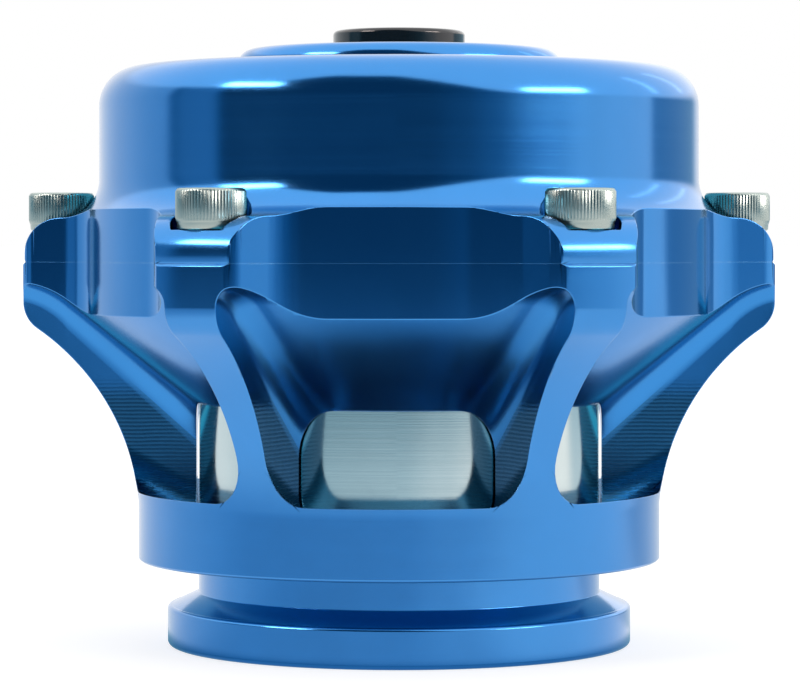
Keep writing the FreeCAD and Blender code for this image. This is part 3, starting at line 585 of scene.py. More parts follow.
@dataclass(frozen=True)
class MetalFinish:
    """A surface: its colour, gloss, tool marks, grain and worn edges that also carry a painted edge
    highlight, with painted shade on milled low walls and a painted reflection tone.
    """

    name: str
    colour: Colour
    worn_and_highlit: Colour
    roughness: float
    marks: Marks = Marks.TURNED
    mark_pitch: float = 0.2
    mark_depth: float = 0.004
    mark_gloss: float = 0.05
    grain_depth: float = 0.0015
    grain_size: float = 0.16
    wear_and_highlight: float = 0.35
    coat: float = 0.0
    anisotropy: float = 0.0
    # Painted shade of the low milled walls: its colour, and how far it goes where the steps are.
    painted_step_shade: Colour = (0.024, 0.12, 0.23)
    painted_step_shade_share: float = 0.8
    metallic: float = 1.0
    # Painted reflection: the colour the metal shows where other surfaces mirror it, if any.
    painted_reflection_tone: Colour | None = None

    def material(self, effects: Effects) -> Material:
        """Builds the finish as a material, or returns it if it is there.

        Args:
            effects: the shared shader groups.

        Returns:
            The material.
        """
        found = bpy.data.materials.get(self.name)
        if found:
            return found
        made = bpy.data.materials.new(self.name)
        made.use_nodes = True
        graph = Graph(made.node_tree)
        place = graph.value("ShaderNodeTexCoord", output="Object")
        grain = graph.values("ShaderNodeGroup", {"Vector": place, "Size": self.grain_size * MM},
                             node_tree=effects.grain)
        wear_and_highlight_mask = graph.value("ShaderNodeGroup", {"Vector": place}, node_tree=effects.wear_and_highlight)
        tone = graph.ranged(grain["Marks"], 0.0, 1.0, 0.94, 1.0)
        colour = graph.mixed(tone, BLACK, (*self.colour, 1.0))
        # Lighter edges: partly edge wear, partly a painted highlight along the edges.
        colour = graph.mixed(wear_and_highlight_mask * self.wear_and_highlight, colour, (*self.worn_and_highlit, 1.0))
        # Painted reflection: when other surfaces mirror it, the metal shows another colour.
        if self.painted_reflection_tone:
            mirrored = graph.value("ShaderNodeLightPath", output="Is Glossy Ray")
            colour = graph.mixed(mirrored, colour, (*self.painted_reflection_tone, 1.0))
        rough = graph.ranged(grain["Marks"], 0.0, 1.0, self.roughness * 1.12,
                             self.roughness * 0.9)
        normal = graph.value("ShaderNodeBump", {
            "Height": grain["Height"], "Strength": 1.0, "Distance": self.grain_depth * MM})
        if self.marks is not Marks.NONE:
            tree = effects.turning if self.marks is Marks.TURNED else effects.milling
            marks = graph.values("ShaderNodeGroup", {
                "Vector": place, "Pitch": self.mark_pitch * MM}, node_tree=tree)
            if self.marks is Marks.MILLED:
                # Painted shade: the low milled walls are darkened where the steps are.
                colour = graph.mixed(marks["Share"] * self.painted_step_shade_share, colour,
                                     (*self.painted_step_shade, 1.0))
            normal = graph.value("ShaderNodeBump", {
                "Height": marks["Height"], "Strength": 1.0, "Normal": normal,
                "Distance": self.mark_depth * MM})
            uneven = graph.ranged(marks["Height"], 0.2, 0.8, -self.mark_gloss, self.mark_gloss)
            rough = graph.math("ADD", rough, uneven, clamp=True)
        shader = graph.node("ShaderNodeBsdfPrincipled", {
            "Base Color": colour, "Roughness": rough, "Metallic": self.metallic, "Normal": normal,
            "Coat Weight": self.coat, "Coat Roughness": 0.12, "Coat IOR": 1.6,
            "Anisotropic": self.anisotropy, "Anisotropic Rotation": 0.25})
        if self.anisotropy:
            tangent = graph.value("ShaderNodeTangent", direction_type="RADIAL", axis="Z")
            graph.fill(shader.inputs["Tangent"], tangent)
        graph.node("ShaderNodeOutputMaterial", {"Surface": Value(graph, shader.outputs[0])})
        return made


BLUE = (0.048, 0.285, 0.72)
# Painted reflection colour of the blue metal, seen only in other surfaces' reflections.
BLUE_PAINTED_REFLECTION = (0.02, 0.30, 0.50)
# Edge colour of the blue metal: worn anodising and a painted edge highlight.
WORN_AND_HIGHLIT_BLUE = (0.32, 0.56, 0.86)
BLUE_TURNED = MetalFinish("blue_turned", BLUE, WORN_AND_HIGHLIT_BLUE, 0.15, coat=0.45, mark_pitch=0.16,
                          mark_depth=0.0006, anisotropy=0.55, grain_depth=0.0022, grain_size=0.14,
                          painted_reflection_tone=BLUE_PAINTED_REFLECTION)
BLUE_MILLED = MetalFinish("blue_milled", BLUE, WORN_AND_HIGHLIT_BLUE, 0.12, Marks.NONE, coat=0.3,
                          painted_reflection_tone=BLUE_PAINTED_REFLECTION)
BLUE_WINDOW = MetalFinish("blue_window", BLUE, WORN_AND_HIGHLIT_BLUE, 0.26, Marks.MILLED, coat=0.1,
                          mark_pitch=0.5, mark_depth=0.013, mark_gloss=0.03, painted_reflection_tone=BLUE_PAINTED_REFLECTION)
BRIGHT_TURNED = MetalFinish("bright_turned", (0.73, 0.82, 0.82), (0.88, 0.92, 0.92), 0.12,
                            mark_pitch=0.26, mark_depth=0.0035, anisotropy=0.4)
STAINLESS = MetalFinish("stainless_steel", (0.47, 0.54, 0.51), (0.84, 0.86, 0.84), 0.27,
                        mark_pitch=0.3, mark_depth=0.0008, grain_size=0.1, wear_and_highlight=0.25)
BLACK_GLOSS = MetalFinish("black_gloss", (0.010, 0.010, 0.013), (0.10, 0.10, 0.11), 0.14,
                          mark_depth=0.0006, coat=0.6, wear_and_highlight=0.5, metallic=0.2)
ZINC = MetalFinish("zinc_steel", (0.56, 0.60, 0.61), (0.82, 0.84, 0.84), 0.3, mark_depth=0.002)
SPRING_STEEL = MetalFinish("spring_steel", (0.26, 0.27, 0.29), (0.55, 0.55, 0.55), 0.32,
                           Marks.NONE, coat=0.2)
BRONZE = MetalFinish("sintered_bronze", (0.50, 0.29, 0.12), (0.74, 0.50, 0.28), 0.42,
                     grain_depth=0.012, grain_size=0.35)
BLACK_RUBBER = MetalFinish("black_rubber", (0.016, 0.016, 0.017), (0.05, 0.05, 0.05), 0.55,
                           Marks.NONE, grain_depth=0.012, grain_size=0.3, metallic=0.0)
DARK_PTFE = MetalFinish("filled_ptfe", (0.15, 0.14, 0.13), (0.24, 0.23, 0.22), 0.45,
                        metallic=0.0)


class RingArray:
    """A node tree that repeats a mesh about the vertical axis."""

    def __init__(self) -> None:
        """Builds the tree with its named inputs."""
        graph, given = group_tree(
            "ring_array", "GeometryNodeTree",
            {"Geometry": ("Geometry", None), "Count": ("Int", 6),
             "First Angle": ("Float", 0.0), "Material": ("Material", None)},
            "Geometry")
        points = graph.value("GeometryNodePoints", {"Count": given["Count"]})
        step = graph.math("DIVIDE", FULL_TURN, given["Count"])
        turn = graph.value("GeometryNodeInputIndex") * step + given["First Angle"]
        rotation = graph.value("FunctionNodeEulerToRotation", {0: graph.vector(0.0, 0.0, turn)})
        copies = graph.value("GeometryNodeInstanceOnPoints", {
            "Points": points, "Instance": given["Geometry"], "Rotation": rotation})
        self.tree = graph.give_solid(copies, given["Material"])

    def repeat(self, made: Object, count: int, first_angle: float,
               material: Material) -> Object:
        """Repeats an object and settles it to a plain mesh.

        Args:
            made: the object to repeat.
            count: the number of copies in the full turn.
            first_angle: the first copy's turn.
            material: the material of every copy.

        Returns:
            The same object, with the copies in its mesh.
        """
        step = made.modifiers.new("ring", "NODES")
        set_inputs(step, self.tree, {"Count": count, "First Angle": math.radians(first_angle),
                                     "Material": material})
        return settled(made)


def set_inputs(step: bpy.types.NodesModifier, tree: Tree,
               values: dict[str, object]) -> None:
    """Gives a node modifier its tree and its values, by each socket's identifier."""
    step.node_group = tree
    for item in tree.interface.items_tree:
        if item.item_type == "SOCKET" and item.in_out == "INPUT" and item.name in values:
            step[item.identifier] = values[item.name]


# What every sub-assembly shares

@dataclass
class Workshop:
    """The shared tools and finishes."""

    effects: Effects = field(default_factory=Effects)
    rings: RingArray = field(default_factory=RingArray)

    def coat(self, made: Object, *finishes: MetalFinish) -> None:
        """Gives an object its materials in order, replacing those it has."""
        made.data.materials.clear()
        for finish in finishes:
            made.data.materials.append(finish.material(self.effects))

    def ring(self, made: Object, count: int, first_angle: float,
             finish: MetalFinish) -> Object:
        """Repeats an object about the vertical axis, all copies in one finish."""
        return self.rings.repeat(made, count, first_angle, finish.material(self.effects))

    def fit(self, made: Object, body: str, slot: str, *nodes: str) -> None:
        """Puts a piece on its body and hides the CAD nodes that it stands for.

        Args:
            made: the finished piece.
            body: the CAD body that it moves with.
            slot: not used.
            nodes: the CAD nodes that it replaces.
        """
        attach(made, body)
        if nodes:
            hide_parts(*nodes)
        triangles = sum(len(face.vertices) - 2 for face in made.data.polygons)
        log.info("%s rides on %s: %d triangles", made.name, body, triangles)


@dataclass
class LobePlan:
    """The plan of the screw lobes and of the scallops between them."""

    count: int = LOBES
    lobe_radius: float = 48.8
    front_half_angle: float = 5.6
    corner_radius: float = 3.5
    flank_angle: float = 35.5
    fillet: float = 9.0
    scallop_radius: float = 41.0
    past: float = 4.0
    scallop_step: float = 1.25
    fillet_step: float = 2.5

    def scallop(self) -> list[Point]:
        """The plan of one scallop, centred on the front.

        On each side a fillet leads from the scallop's own arc to a straight flank, and a round
        from there to the lobe's front edge.

        Returns:
            The corners of the closed plan.
        """
        flank = math.radians(self.flank_angle)
        front = math.radians(180.0 / self.count - self.front_half_angle)
        along = Vector((math.cos(flank), math.sin(flank)))
        outward = Vector((-math.sin(flank), math.cos(flank)))
        edge = Vector((math.sin(front), math.cos(front))) * self.lobe_radius
        upper = edge - Vector((math.sin(flank), 1.0 - math.cos(flank))) * self.corner_radius
        reach = self.scallop_radius + self.fillet
        offset = upper + outward * self.fillet
        way = offset.dot(along)
        run = way - math.sqrt(way**2 - offset.length_squared + reach**2)
        lower = upper - along * run
        inner = (lower + outward * self.fillet) * (self.scallop_radius / reach)
        outer = edge * (1.0 + self.past / self.lobe_radius) / math.cos(front)
        drawn = Outline(-inner.x, inner.y, self.scallop_step)
        drawn.arc(*inner, self.scallop_radius, Side.RIGHT)
        drawn.arc_step = self.fillet_step
        drawn.arc(*lower, self.fillet, Side.LEFT).line(*upper)
        drawn.arc(*edge, self.corner_radius, Side.RIGHT)
        drawn.line(*outer, -outer.x, outer.y, -edge.x, edge.y)
        drawn.arc(-upper.x, upper.y, self.corner_radius, Side.RIGHT).line(-lower.x, lower.y)
        drawn.arc(-inner.x, inner.y, self.fillet, Side.LEFT)
        return [(x, -y) for x, y in drawn.points[:-1]]


@dataclass
class ScrewPlan:
    """The ring of cap screws."""

    count: int = LOBES
    circle_radius: float = 44.1
    seat_height: float = 53.6
    hole_radius: float = 2.75
    counterbore_radius: float = 4.85
    thread_radius: float = 2.5
    first_angle: float = 30.0


@dataclass
class ValveBody:
    """The turned and milled body: flange, neck, ring, six arms, six windows and the stem guide."""

    shop: Workshop
    plan: LobePlan
    screws: ScrewPlan
    inlet_radius: float = 24.0
    inlet_chamfer: float = 0.5
    flange_radius: float = 30.1
    rim_height: float = 5.0
    cone_height: float = 1.8
    flange_edge: float = 0.6
    neck_radius: float = 26.1
    neck_top: float = 11.0
    ring_radius: float = 33.9
    ring_top: float = 18.5
    ring_chamfer: float = 0.3
    flare_radius: float = 31.1
    flare_centre: float = 15.5
    flare_edge: float = 4.2
    seat_bottom: float = 12.6
    bore_radius: float = 26.4
    bore_top: float = 45.8
    guide_radius: float = 10.0
    guide_bore: float = 7.0
    guide_bottom: float = 33.0
    guide_root: float = 2.0
    chamber_radius: float = CHAMBER_RADIUS
    chamber_floor: float = 47.8
    clamp_radius: float = 38.3
    clamp_floor: float = 48.6
    seam: float = SEAM
    seam_chamfer: float = 0.3
    screw_bottom: float = 43.1
    breather_radius: float = 1.6
    breather_circle: float = 18.0
    window_angles: Point = (54.7, 51.4)
    floor_height: float = 19.6
    floor_radius: float = 33.4
    floor_slope: float = 0.55
    roof_slope: float = 0.8
    roof_end_radius: float = 49.9
    roof_end_height: float = 47.0
    roof_curve: float = 11.0
    top_corners: Point = (4.6, 2.5)
    bottom_corner: float = 4.6
    flare_step: float = 1.6
    slope_sections: int = 14
    curve_sections: int = 11
    across_steps: int = 44
    corner_steps: int = 9
    hole_steps: int = 48
    hole_past: float = 1.0
    broken_edge: float = 0.1

    def blank(self) -> Object:
        """The turned blank, before any milling."""
        centre_x = self.ring_radius + math.sqrt(
            self.flare_radius**2 - (self.ring_top - self.flare_centre) ** 2)
        edge_x = self.plan.lobe_radius - self.flare_edge
        both = self.flare_radius + self.flare_edge
        edge_z = self.flare_centre + math.sqrt(both**2 - (centre_x - edge_x) ** 2)
        share = self.flare_radius / both
        end_x = centre_x - (centre_x - edge_x) * share
        end_z = self.flare_centre + (edge_z - self.flare_centre) * share
        lobe, edge = self.plan.lobe_radius, self.flange_edge
        seat_top = self.seat_bottom + self.bore_radius - self.inlet_radius
        cone_top = self.rim_height + self.cone_height
        root = self.guide_root
        drawn = Outline(self.inlet_radius, self.inlet_chamfer)
        drawn.line(self.inlet_radius + self.inlet_chamfer, 0.0, self.flange_radius - edge, 0.0)
        drawn.arc(self.flange_radius, edge, edge, Side.LEFT)
        drawn.line(self.flange_radius, self.rim_height - edge / 2)
        drawn.arc(self.flange_radius - edge, self.rim_height + edge / 3, edge, Side.LEFT)
        drawn.line(self.neck_radius, cone_top, self.neck_radius, self.neck_top - edge)
        drawn.arc(self.neck_radius + edge, self.neck_top, edge, Side.RIGHT)
        drawn.line(self.ring_radius - self.ring_chamfer, self.neck_top,
                   self.ring_radius, self.neck_top + self.ring_chamfer,
                   self.ring_radius, self.ring_top)
        plain_step, drawn.arc_step = drawn.arc_step, self.flare_step
        drawn.arc(end_x, end_z, self.flare_radius, Side.RIGHT)
        drawn.arc_step = plain_step
        drawn.arc(lobe, edge_z, self.flare_edge, Side.LEFT)
        drawn.line(lobe, self.seam - self.seam_chamfer, lobe - self.seam_chamfer, self.seam,
                   self.clamp_radius, self.seam, self.clamp_radius, self.clamp_floor,
                   self.chamber_radius, self.clamp_floor, self.chamber_radius, self.chamber_floor,
                   self.guide_bore, self.chamber_floor, self.guide_bore, self.guide_bottom,
                   self.guide_radius, self.guide_bottom, self.guide_radius, self.bore_top - root)
        drawn.arc(self.guide_radius + root, self.bore_top, root, Side.RIGHT)
        drawn.line(self.bore_radius, self.bore_top, self.bore_radius, seat_top,
                   self.inlet_radius, self.seat_bottom)
        return turned("machined_body", drawn)

    def roof_curve_start(self) -> Point:
        """Where the window roof begins to level out: a distance from the axis and a height."""
        steep = math.hypot(1.0, self.roof_slope)
        return (self.roof_end_radius - self.roof_curve * self.roof_slope / steep,
                self.roof_end_height - self.roof_curve * (1.0 - 1.0 / steep))

    def roof(self, reach: float) -> Point:
        """The window roof's height and slope at a distance from the axis."""
        start_x, start_z = self.roof_curve_start()
        if reach <= start_x:
            return start_z - (start_x - reach) * self.roof_slope, self.roof_slope
        if reach >= self.roof_end_radius:
            return self.roof_end_height, 0.0
        across = self.roof_end_radius - reach
        drop = math.sqrt(self.roof_curve**2 - across**2)
        return self.roof_end_height - self.roof_curve + drop, across / drop

    def window_section(self, reach: float) -> np.ndarray:
        """One closed section of a window, at a distance from the axis.

        Args:
            reach: the distance.

        Returns:
            The section's points.
        """
        share = (reach - self.bore_radius) / (self.plan.lobe_radius - self.bore_radius)
        half = math.radians(np.interp(share, (0.0, 1.0), self.window_angles) / 2)
        top_corner = np.interp(share, (0.0, 1.0), self.top_corners)
        floor = self.floor_height + (reach - self.floor_radius) * self.floor_slope
        top, slope = self.roof(reach)
        high = top_corner * math.hypot(1.0, slope)
        low = self.bottom_corner * math.hypot(1.0, self.floor_slope)
        turn = np.linspace(0.0, math.pi / 2, self.corner_steps + 1)
        corner_low = [(half - self.bottom_corner * (1 - math.sin(a)) / reach,
                       floor + low * (1 - math.cos(a))) for a in turn]
        corner_high = [(half - top_corner * (1 - math.cos(a)) / reach,
                        top - high * (1 - math.sin(a))) for a in turn]
        right = corner_low + corner_high
        left = [(-angle, height) for angle, height in reversed(right)]

        def across(first: Point, last: Point) -> list[Point]:
            """The points between two ends of the floor or the roof."""
            shares = np.linspace(0.0, 1.0, self.across_steps + 1)[1:-1]
            return [(first[0] + (last[0] - first[0]) * s, first[1]) for s in shares]

        ring = right + across(right[-1], left[0]) + left + across(left[-1], right[0])
        return np.array([(reach * math.sin(a), -reach * math.cos(a), z) for a, z in ring])

    def windows(self) -> Object:
        """The space of the six windows, each narrowing to the piston bore."""
        curve_start, _ = self.roof_curve_start()
        reaches = [*np.linspace(self.inlet_radius, curve_start, self.slope_sections),
                   *np.linspace(curve_start, self.roof_end_radius, self.curve_sections)[1:],
                   self.plan.lobe_radius + self.plan.past]
        tool = lofted("windows", [self.window_section(reach) for reach in reaches])
        return self.shop.ring(tool, self.plan.count, 0.0, BLUE_WINDOW)

    def scallops(self) -> Object:
        """The space between the lobes."""
        tool = prism("scallops", self.plan.scallop(), self.floor_height,
                     self.seam + self.plan.past)
        return self.shop.ring(tool, self.plan.count, 0.0, BLUE_MILLED)

    def holes(self) -> list[Object]:
        """The blind screw holes and the breathers between bore and chamber."""
        made = []
        past = self.hole_past
        rows = (("screw_holes", self.screws.thread_radius, self.screws.circle_radius,
                 self.screw_bottom, self.seam + past),
                ("breathers", self.breather_radius, self.breather_circle,
                 self.bore_top - past, self.chamber_floor + past))
        for name, radius, circle, bottom, top in rows:
            angles = np.linspace(0.0, FULL_TURN, self.hole_steps, endpoint=False)
            plan = [(radius * math.cos(a), radius * math.sin(a) - circle) for a in angles]
            tool = prism(name, plan, bottom, top)
            made.append(self.shop.ring(tool, self.plan.count, self.screws.first_angle,
                                       BLUE_MILLED))
        return made

    def build(self) -> None:
        """Makes, dresses and places the body."""
        made = self.blank()
        self.shop.coat(made, BLUE_TURNED)
        cut(made, self.windows(), self.scallops(), *self.holes())
        eased(made, self.broken_edge, keen_height=self.seam)
        self.shop.fit(made, "housing", "blue_anodised", "valve_body")


@dataclass
class UpperHousing:
    """The cap: dome, port boss, cove and six screw lobes."""

    shop: Workshop
    plan: LobePlan
    screws: ScrewPlan
    inset: float = 0.2
    seam: float = SEAM
    seam_chamfer: Point = (0.12, 0.32)
    lobe_top: float = 55.3
    edge_radius: float = 4.5
    cove: float = 5.0
    dome_radius: float = 39.0
    dome_top: float = 74.8
    dome_corner: float = 5.0
    boss_radius: float = 21.0
    boss_top: float = BOSS_TOP
    boss_edge: float = 1.9
    recess_radius: float = 8.0
    recess_depth: float = 1.0
    hole_radius: float = 6.95
    ceiling: float = 72.0
    ceiling_corner: float = 3.0
    chamber_radius: float = CHAMBER_RADIUS
    dome_step: float = 4.0
    bore_steps: int = 96
    broken_edge: float = 0.1

    def blank(self) -> Object:
        """The turned blank, before any milling."""
        lobe = self.plan.lobe_radius - self.inset
        drawn = Outline(self.chamber_radius, self.seam)
        wide, tall = self.seam_chamfer
        drawn.line(lobe - wide, self.seam, lobe, self.seam + tall,
                   lobe, self.lobe_top - self.edge_radius)
        drawn.arc(lobe - self.edge_radius, self.lobe_top, self.edge_radius, Side.LEFT)
        drawn.line(self.dome_radius + self.cove, self.lobe_top)
        drawn.arc(self.dome_radius, self.lobe_top + self.cove, self.cove, Side.RIGHT)
        drawn.line(self.dome_radius, self.dome_top - self.dome_corner)
        drawn.arc_step = self.dome_step
        drawn.arc(self.dome_radius - self.dome_corner, self.dome_top, self.dome_corner,
                  Side.LEFT)
        drawn.line(self.boss_radius, self.dome_top,
                   self.boss_radius, self.boss_top - self.boss_edge)
        drawn.arc(self.boss_radius - self.boss_edge, self.boss_top, self.boss_edge, Side.LEFT)
        drawn.line(self.recess_radius, self.boss_top,
                   self.recess_radius, self.boss_top - self.recess_depth,
                   self.hole_radius, self.boss_top - self.recess_depth,
                   self.hole_radius, self.ceiling,
                   self.chamber_radius - self.ceiling_corner, self.ceiling)
        drawn.arc(self.chamber_radius, self.ceiling - self.ceiling_corner, self.ceiling_corner,
                  Side.RIGHT)
        return turned("machined_cap", drawn)

    def build(self) -> None:
        """Makes, dresses and places the cap."""
        made = self.blank()
        self.shop.coat(made, BLUE_TURNED)
        scallops = prism("cap_scallops", self.plan.scallop(),
                         self.seam - self.plan.past, self.lobe_top + self.cove)
        self.shop.ring(scallops, self.plan.count, 0.0, BLUE_MILLED)
        low, high, seat = self.seam - 1.0, self.lobe_top + self.cove, self.screws.seat_height
        bore = Outline(0.0, low)
        bore.line(self.screws.hole_radius, low, self.screws.hole_radius, seat,
                  self.screws.counterbore_radius, seat,
                  self.screws.counterbore_radius, high, 0.0, high)
        bores = turned("counterbores", bore, self.bore_steps)
        bores.data.transform(shift(0.0, -self.screws.circle_radius, 0.0))
        self.shop.ring(bores, self.plan.count, self.screws.first_angle, BLUE_MILLED)
        cut(made, scallops, bores)
        eased(made, self.broken_edge, keen_height=self.seam)
        self.shop.fit(made, "housing", "blue_anodised", "upper_housing")


def shift(x: float, y: float, z: float) -> Matrix:
    """A matrix that moves a mesh by millimetres."""
    return Matrix.Translation((x * MM, y * MM, z * MM))


@dataclass
class CapScrews:
    """Six socket head screws with straight knurling."""

    shop: Workshop
    screws: ScrewPlan
    head_radius: float = 4.25
    head_height: float = 5.0
    shank_radius: float = 2.48
    length: float = 10.0
    socket_width: float = 4.0
    socket_depth: float = 2.5
    ridges: int = 66
    ridge_depth: float = 0.085
    samples: int = 4
    sharp_angle: float = 32.0

    def build(self) -> None:
        """Makes one screw, then the ring of six."""
        top, edge = self.head_height, self.head_radius
        groove = edge - self.ridge_depth
        # Height, radius, knurl depth and whether the section is the socket's hexagon.
        rows = [(-self.length, 0.001, 0, 0), (-self.length, self.shank_radius - 0.4, 0, 0),
                (-self.length + 0.4, self.shank_radius, 0, 0), (-0.3, self.shank_radius, 0, 0),
                (0.0, self.shank_radius + 0.3, 0, 0), (0.0, edge - 0.62, 0, 0),
                (0.12, edge - 0.34, 0, 0), (0.3, edge - 0.22, 0, 0), (0.82, edge - 0.2, 0, 0),
                (0.94, edge - 0.16, 0, 0), (1.12, groove, 0, 0), (1.28, groove + 0.02, 0.5, 0),
                (1.42, edge, 1, 0), (top - 0.42, edge, 1, 0), (top - 0.32, groove + 0.02, 0.5, 0),
                (top - 0.26, groove - 0.02, 0, 0), (top - 0.14, groove - 0.07, 0, 0),
                (top - 0.05, groove - 0.16, 0, 0), (top, groove - 0.28, 0, 0),
                (top, self.socket_width / 2 * 1.36, 0, 0),
                (top - 0.3, self.socket_width / 2, 0, 1),
                (top - self.socket_depth, self.socket_width / 2, 0, 1),
                (top - self.socket_depth - 0.7, 0.001, 0, 0)]
        count = self.ridges * self.samples
        angles = np.arange(count) * FULL_TURN / count
        middle = self.samples / 2
        wave = np.abs(np.arange(count) % self.samples - middle) / middle
        sixth = FULL_TURN / 6
        hexagon = 1.0 / np.cos(angles % sixth - sixth / 2)
        vertices = []
        for height, radius, knurl, is_hexagon in rows:
            reach = radius * (hexagon if is_hexagon else 1.0) - self.ridge_depth * knurl * wave
            reach = np.broadcast_to(reach, angles.shape)
            vertices.append(np.column_stack([reach * np.sin(angles), -reach * np.cos(angles),
                                             np.full(count, height)]))
        ends = [range(count), range((len(rows) - 1) * count, len(rows) * count)]
        made = plain_object("socket_head_screws", np.vstack(vertices),
                            bands(count, len(rows)) + ends)
        made.data.transform(shift(0.0, -self.screws.circle_radius, self.screws.seat_height))
        self.shop.ring(made, self.screws.count, self.screws.first_angle, STAINLESS)
        smooth_by_angle(made, self.sharp_angle)
        self.shop.fit(made, "housing", "stainless", "cap_screws")


def smooth_by_angle(made: Object, angle: float) -> None:
    """Shades a mesh smoothly, and leaves the edges over an angle sharp."""
    made.data.shade_smooth()
    made.data.set_sharp_from_angle(angle=math.radians(angle))


@dataclass
class PortFitting:
    """The black signal fitting with its threaded port."""

    shop: Workshop
    boss_top: float = BOSS_TOP
    flange_radius: float = 8.6
    flange_height: float = 2.5
    edge: float = 0.6
    shank_radius: float = 6.9
    bottom: float = 70.5
    port_radius: float = 4.35
    port_depth: float = 7.0
    orifice_radius: float = 2.5
    port_chamfer: float = 0.5
    thread_pitch: float = 0.94
    thread_depth: float = 0.42
    thread_corners: tuple[Point, ...] = ((0.1, 0.1), (0.45, 1.0), (0.6, 1.0), (0.95, 0.0))
    broken_edge: float = 0.08
    sharp_angle: float = 40.0
    steps: int = 144

    def build(self) -> None:
        """Makes, dresses and places the fitting."""
        top = self.boss_top + self.flange_height
        port_bottom = top - self.port_depth
        drawn = Outline(self.orifice_radius, self.bottom)
        drawn.line(self.shank_radius, self.bottom, self.shank_radius, self.boss_top,
                   self.flange_radius, self.boss_top, self.flange_radius, top - self.edge)
        drawn.arc(self.flange_radius - self.edge, top, self.edge, Side.LEFT)
        height = top - self.port_chamfer
        drawn.line(self.port_radius + self.port_chamfer, top, self.port_radius, height)
        while height - self.thread_pitch > port_bottom + self.thread_pitch:
            # Each corner of a thread is a share of the pitch down and a share of the depth out.
            for down, out in self.thread_corners:
                drawn.line(self.port_radius + self.thread_depth * out,
                           height - self.thread_pitch * down)
            height -= self.thread_pitch
        drawn.line(self.port_radius, port_bottom, self.orifice_radius, port_bottom)
        made = turned("signal_union", drawn, self.steps)
        self.shop.coat(made, BLACK_GLOSS)
        eased(made, self.broken_edge, self.sharp_angle)
        self.shop.fit(made, "housing", "black_anodised", "signal_port_fitting")


@dataclass
class Piston:
    """The bright turned piston, with the groove of its seat seal and the hole for the screw from
    below.
    """

    shop: Workshop
    radius: float = 26.05
    bottom: float = 13.6
    top: float = 34.3
    wall: float = 3.05
    crown: float = 3.5
    crown_fillet: float = 2.0
    face_radius: float = 23.6
    hub_radius: float = 11.0
    hub_top: float = 20.5
    counterbore_radius: float = 8.6
    counterbore_depth: float = 3.6
    ring_bottom: float = 31.9
    ring_height: float = 2.0
    ring_depth: float = 0.65
    stem_radius: float = 5.02
    stem_recess: float = 1.2
    screw_hole: float = 3.0
    seal_radius: float = 0.98
    seal_groove: float = 1.0
    seal_depth: float = 0.1
    groove_steps: int = 16
    broken_edge: float = 0.12
    sharp_angle: float = 30.0

    def bevel_middle(self) -> Point:
        """The middle of the bevel that meets the seat: a radius and a height."""
        bevel = self.radius - self.face_radius
        return self.radius - bevel / 2, self.bottom + bevel / 2

    def seal_centre(self) -> Point:
        """The centre of the seat seal's section: a radius and a height."""
        inset = self.seal_depth / math.sqrt(2.0)
        middle_x, middle_z = self.bevel_middle()
        return middle_x - inset, middle_z + inset

    def build(self) -> None:
        """Makes, dresses and places the piston, grooved for its seal."""
        inner = self.radius - self.wall
        crown_top = self.bottom + self.crown
        recess = self.bottom + self.counterbore_depth
        stem_bottom = self.hub_top - self.stem_recess
        seal_x, seal_z = self.seal_centre()
        # The bevel crosses the seal's groove at two points, each a half chord from the middle.
        half_chord = math.sqrt(self.seal_groove**2 - self.seal_depth**2) / math.sqrt(2.0)
        middle_x, middle_z = self.bevel_middle()
        drawn = Outline(self.screw_hole, recess)
        drawn.line(self.counterbore_radius, recess, self.counterbore_radius, self.bottom,
                   self.face_radius, self.bottom, middle_x - half_chord, middle_z - half_chord)
        first = math.atan2(middle_z - half_chord - seal_z, middle_x - half_chord - seal_x)
        last = math.atan2(middle_z + half_chord - seal_z, middle_x + half_chord - seal_x)
        for share in np.linspace(0.0, 1.0, self.groove_steps + 1)[1:-1]:
            angle = first + ((last - first) % FULL_TURN - FULL_TURN) * share
            drawn.line(seal_x + self.seal_groove * math.cos(angle),
                       seal_z + self.seal_groove * math.sin(angle))
        ring_x, ring_top = self.radius - self.ring_depth, self.ring_bottom + self.ring_height
        drawn.line(middle_x + half_chord, middle_z + half_chord,
                   self.radius, self.bottom + self.radius - self.face_radius,
                   self.radius, self.ring_bottom, ring_x, self.ring_bottom,
                   ring_x, ring_top, self.radius, ring_top, self.radius, self.top,
                   inner, self.top, inner, crown_top + self.crown_fillet)
        drawn.arc(inner - self.crown_fillet, crown_top, self.crown_fillet, Side.RIGHT)
        drawn.line(self.hub_radius, crown_top, self.hub_radius, self.hub_top,
                   self.stem_radius, self.hub_top, self.stem_radius, stem_bottom,
                   self.screw_hole, stem_bottom)
        made = turned("turned_piston", drawn)
        self.shop.coat(made, BRIGHT_TURNED)
        eased(made, self.broken_edge, self.sharp_angle)
        self.shop.fit(made, "valve", "bright_aluminium", "valve_piston")


@dataclass(frozen=True)
class Seal:
    """An O-ring."""

    name: str
    node: str
    body: str
    mean_radius: float
    height: float
    cord_radius: float
    cord_step: float = 12.0
    steps: int = 180

    def build(self, shop: Workshop) -> None:
        """Makes, dresses and places the ring."""
        inner, outer = self.mean_radius - self.cord_radius, self.mean_radius + self.cord_radius
        drawn = Outline(outer, self.height, self.cord_step)
        drawn.arc(inner, self.height, self.cord_radius, Side.LEFT)
        drawn.arc(outer, self.height, self.cord_radius, Side.LEFT)
        drawn.points.pop()
        made = turned(self.name, drawn, self.steps)
        shop.coat(made, BLACK_RUBBER)
        made.data.shade_smooth()
        shop.fit(made, self.body, "black_rubber", self.node)


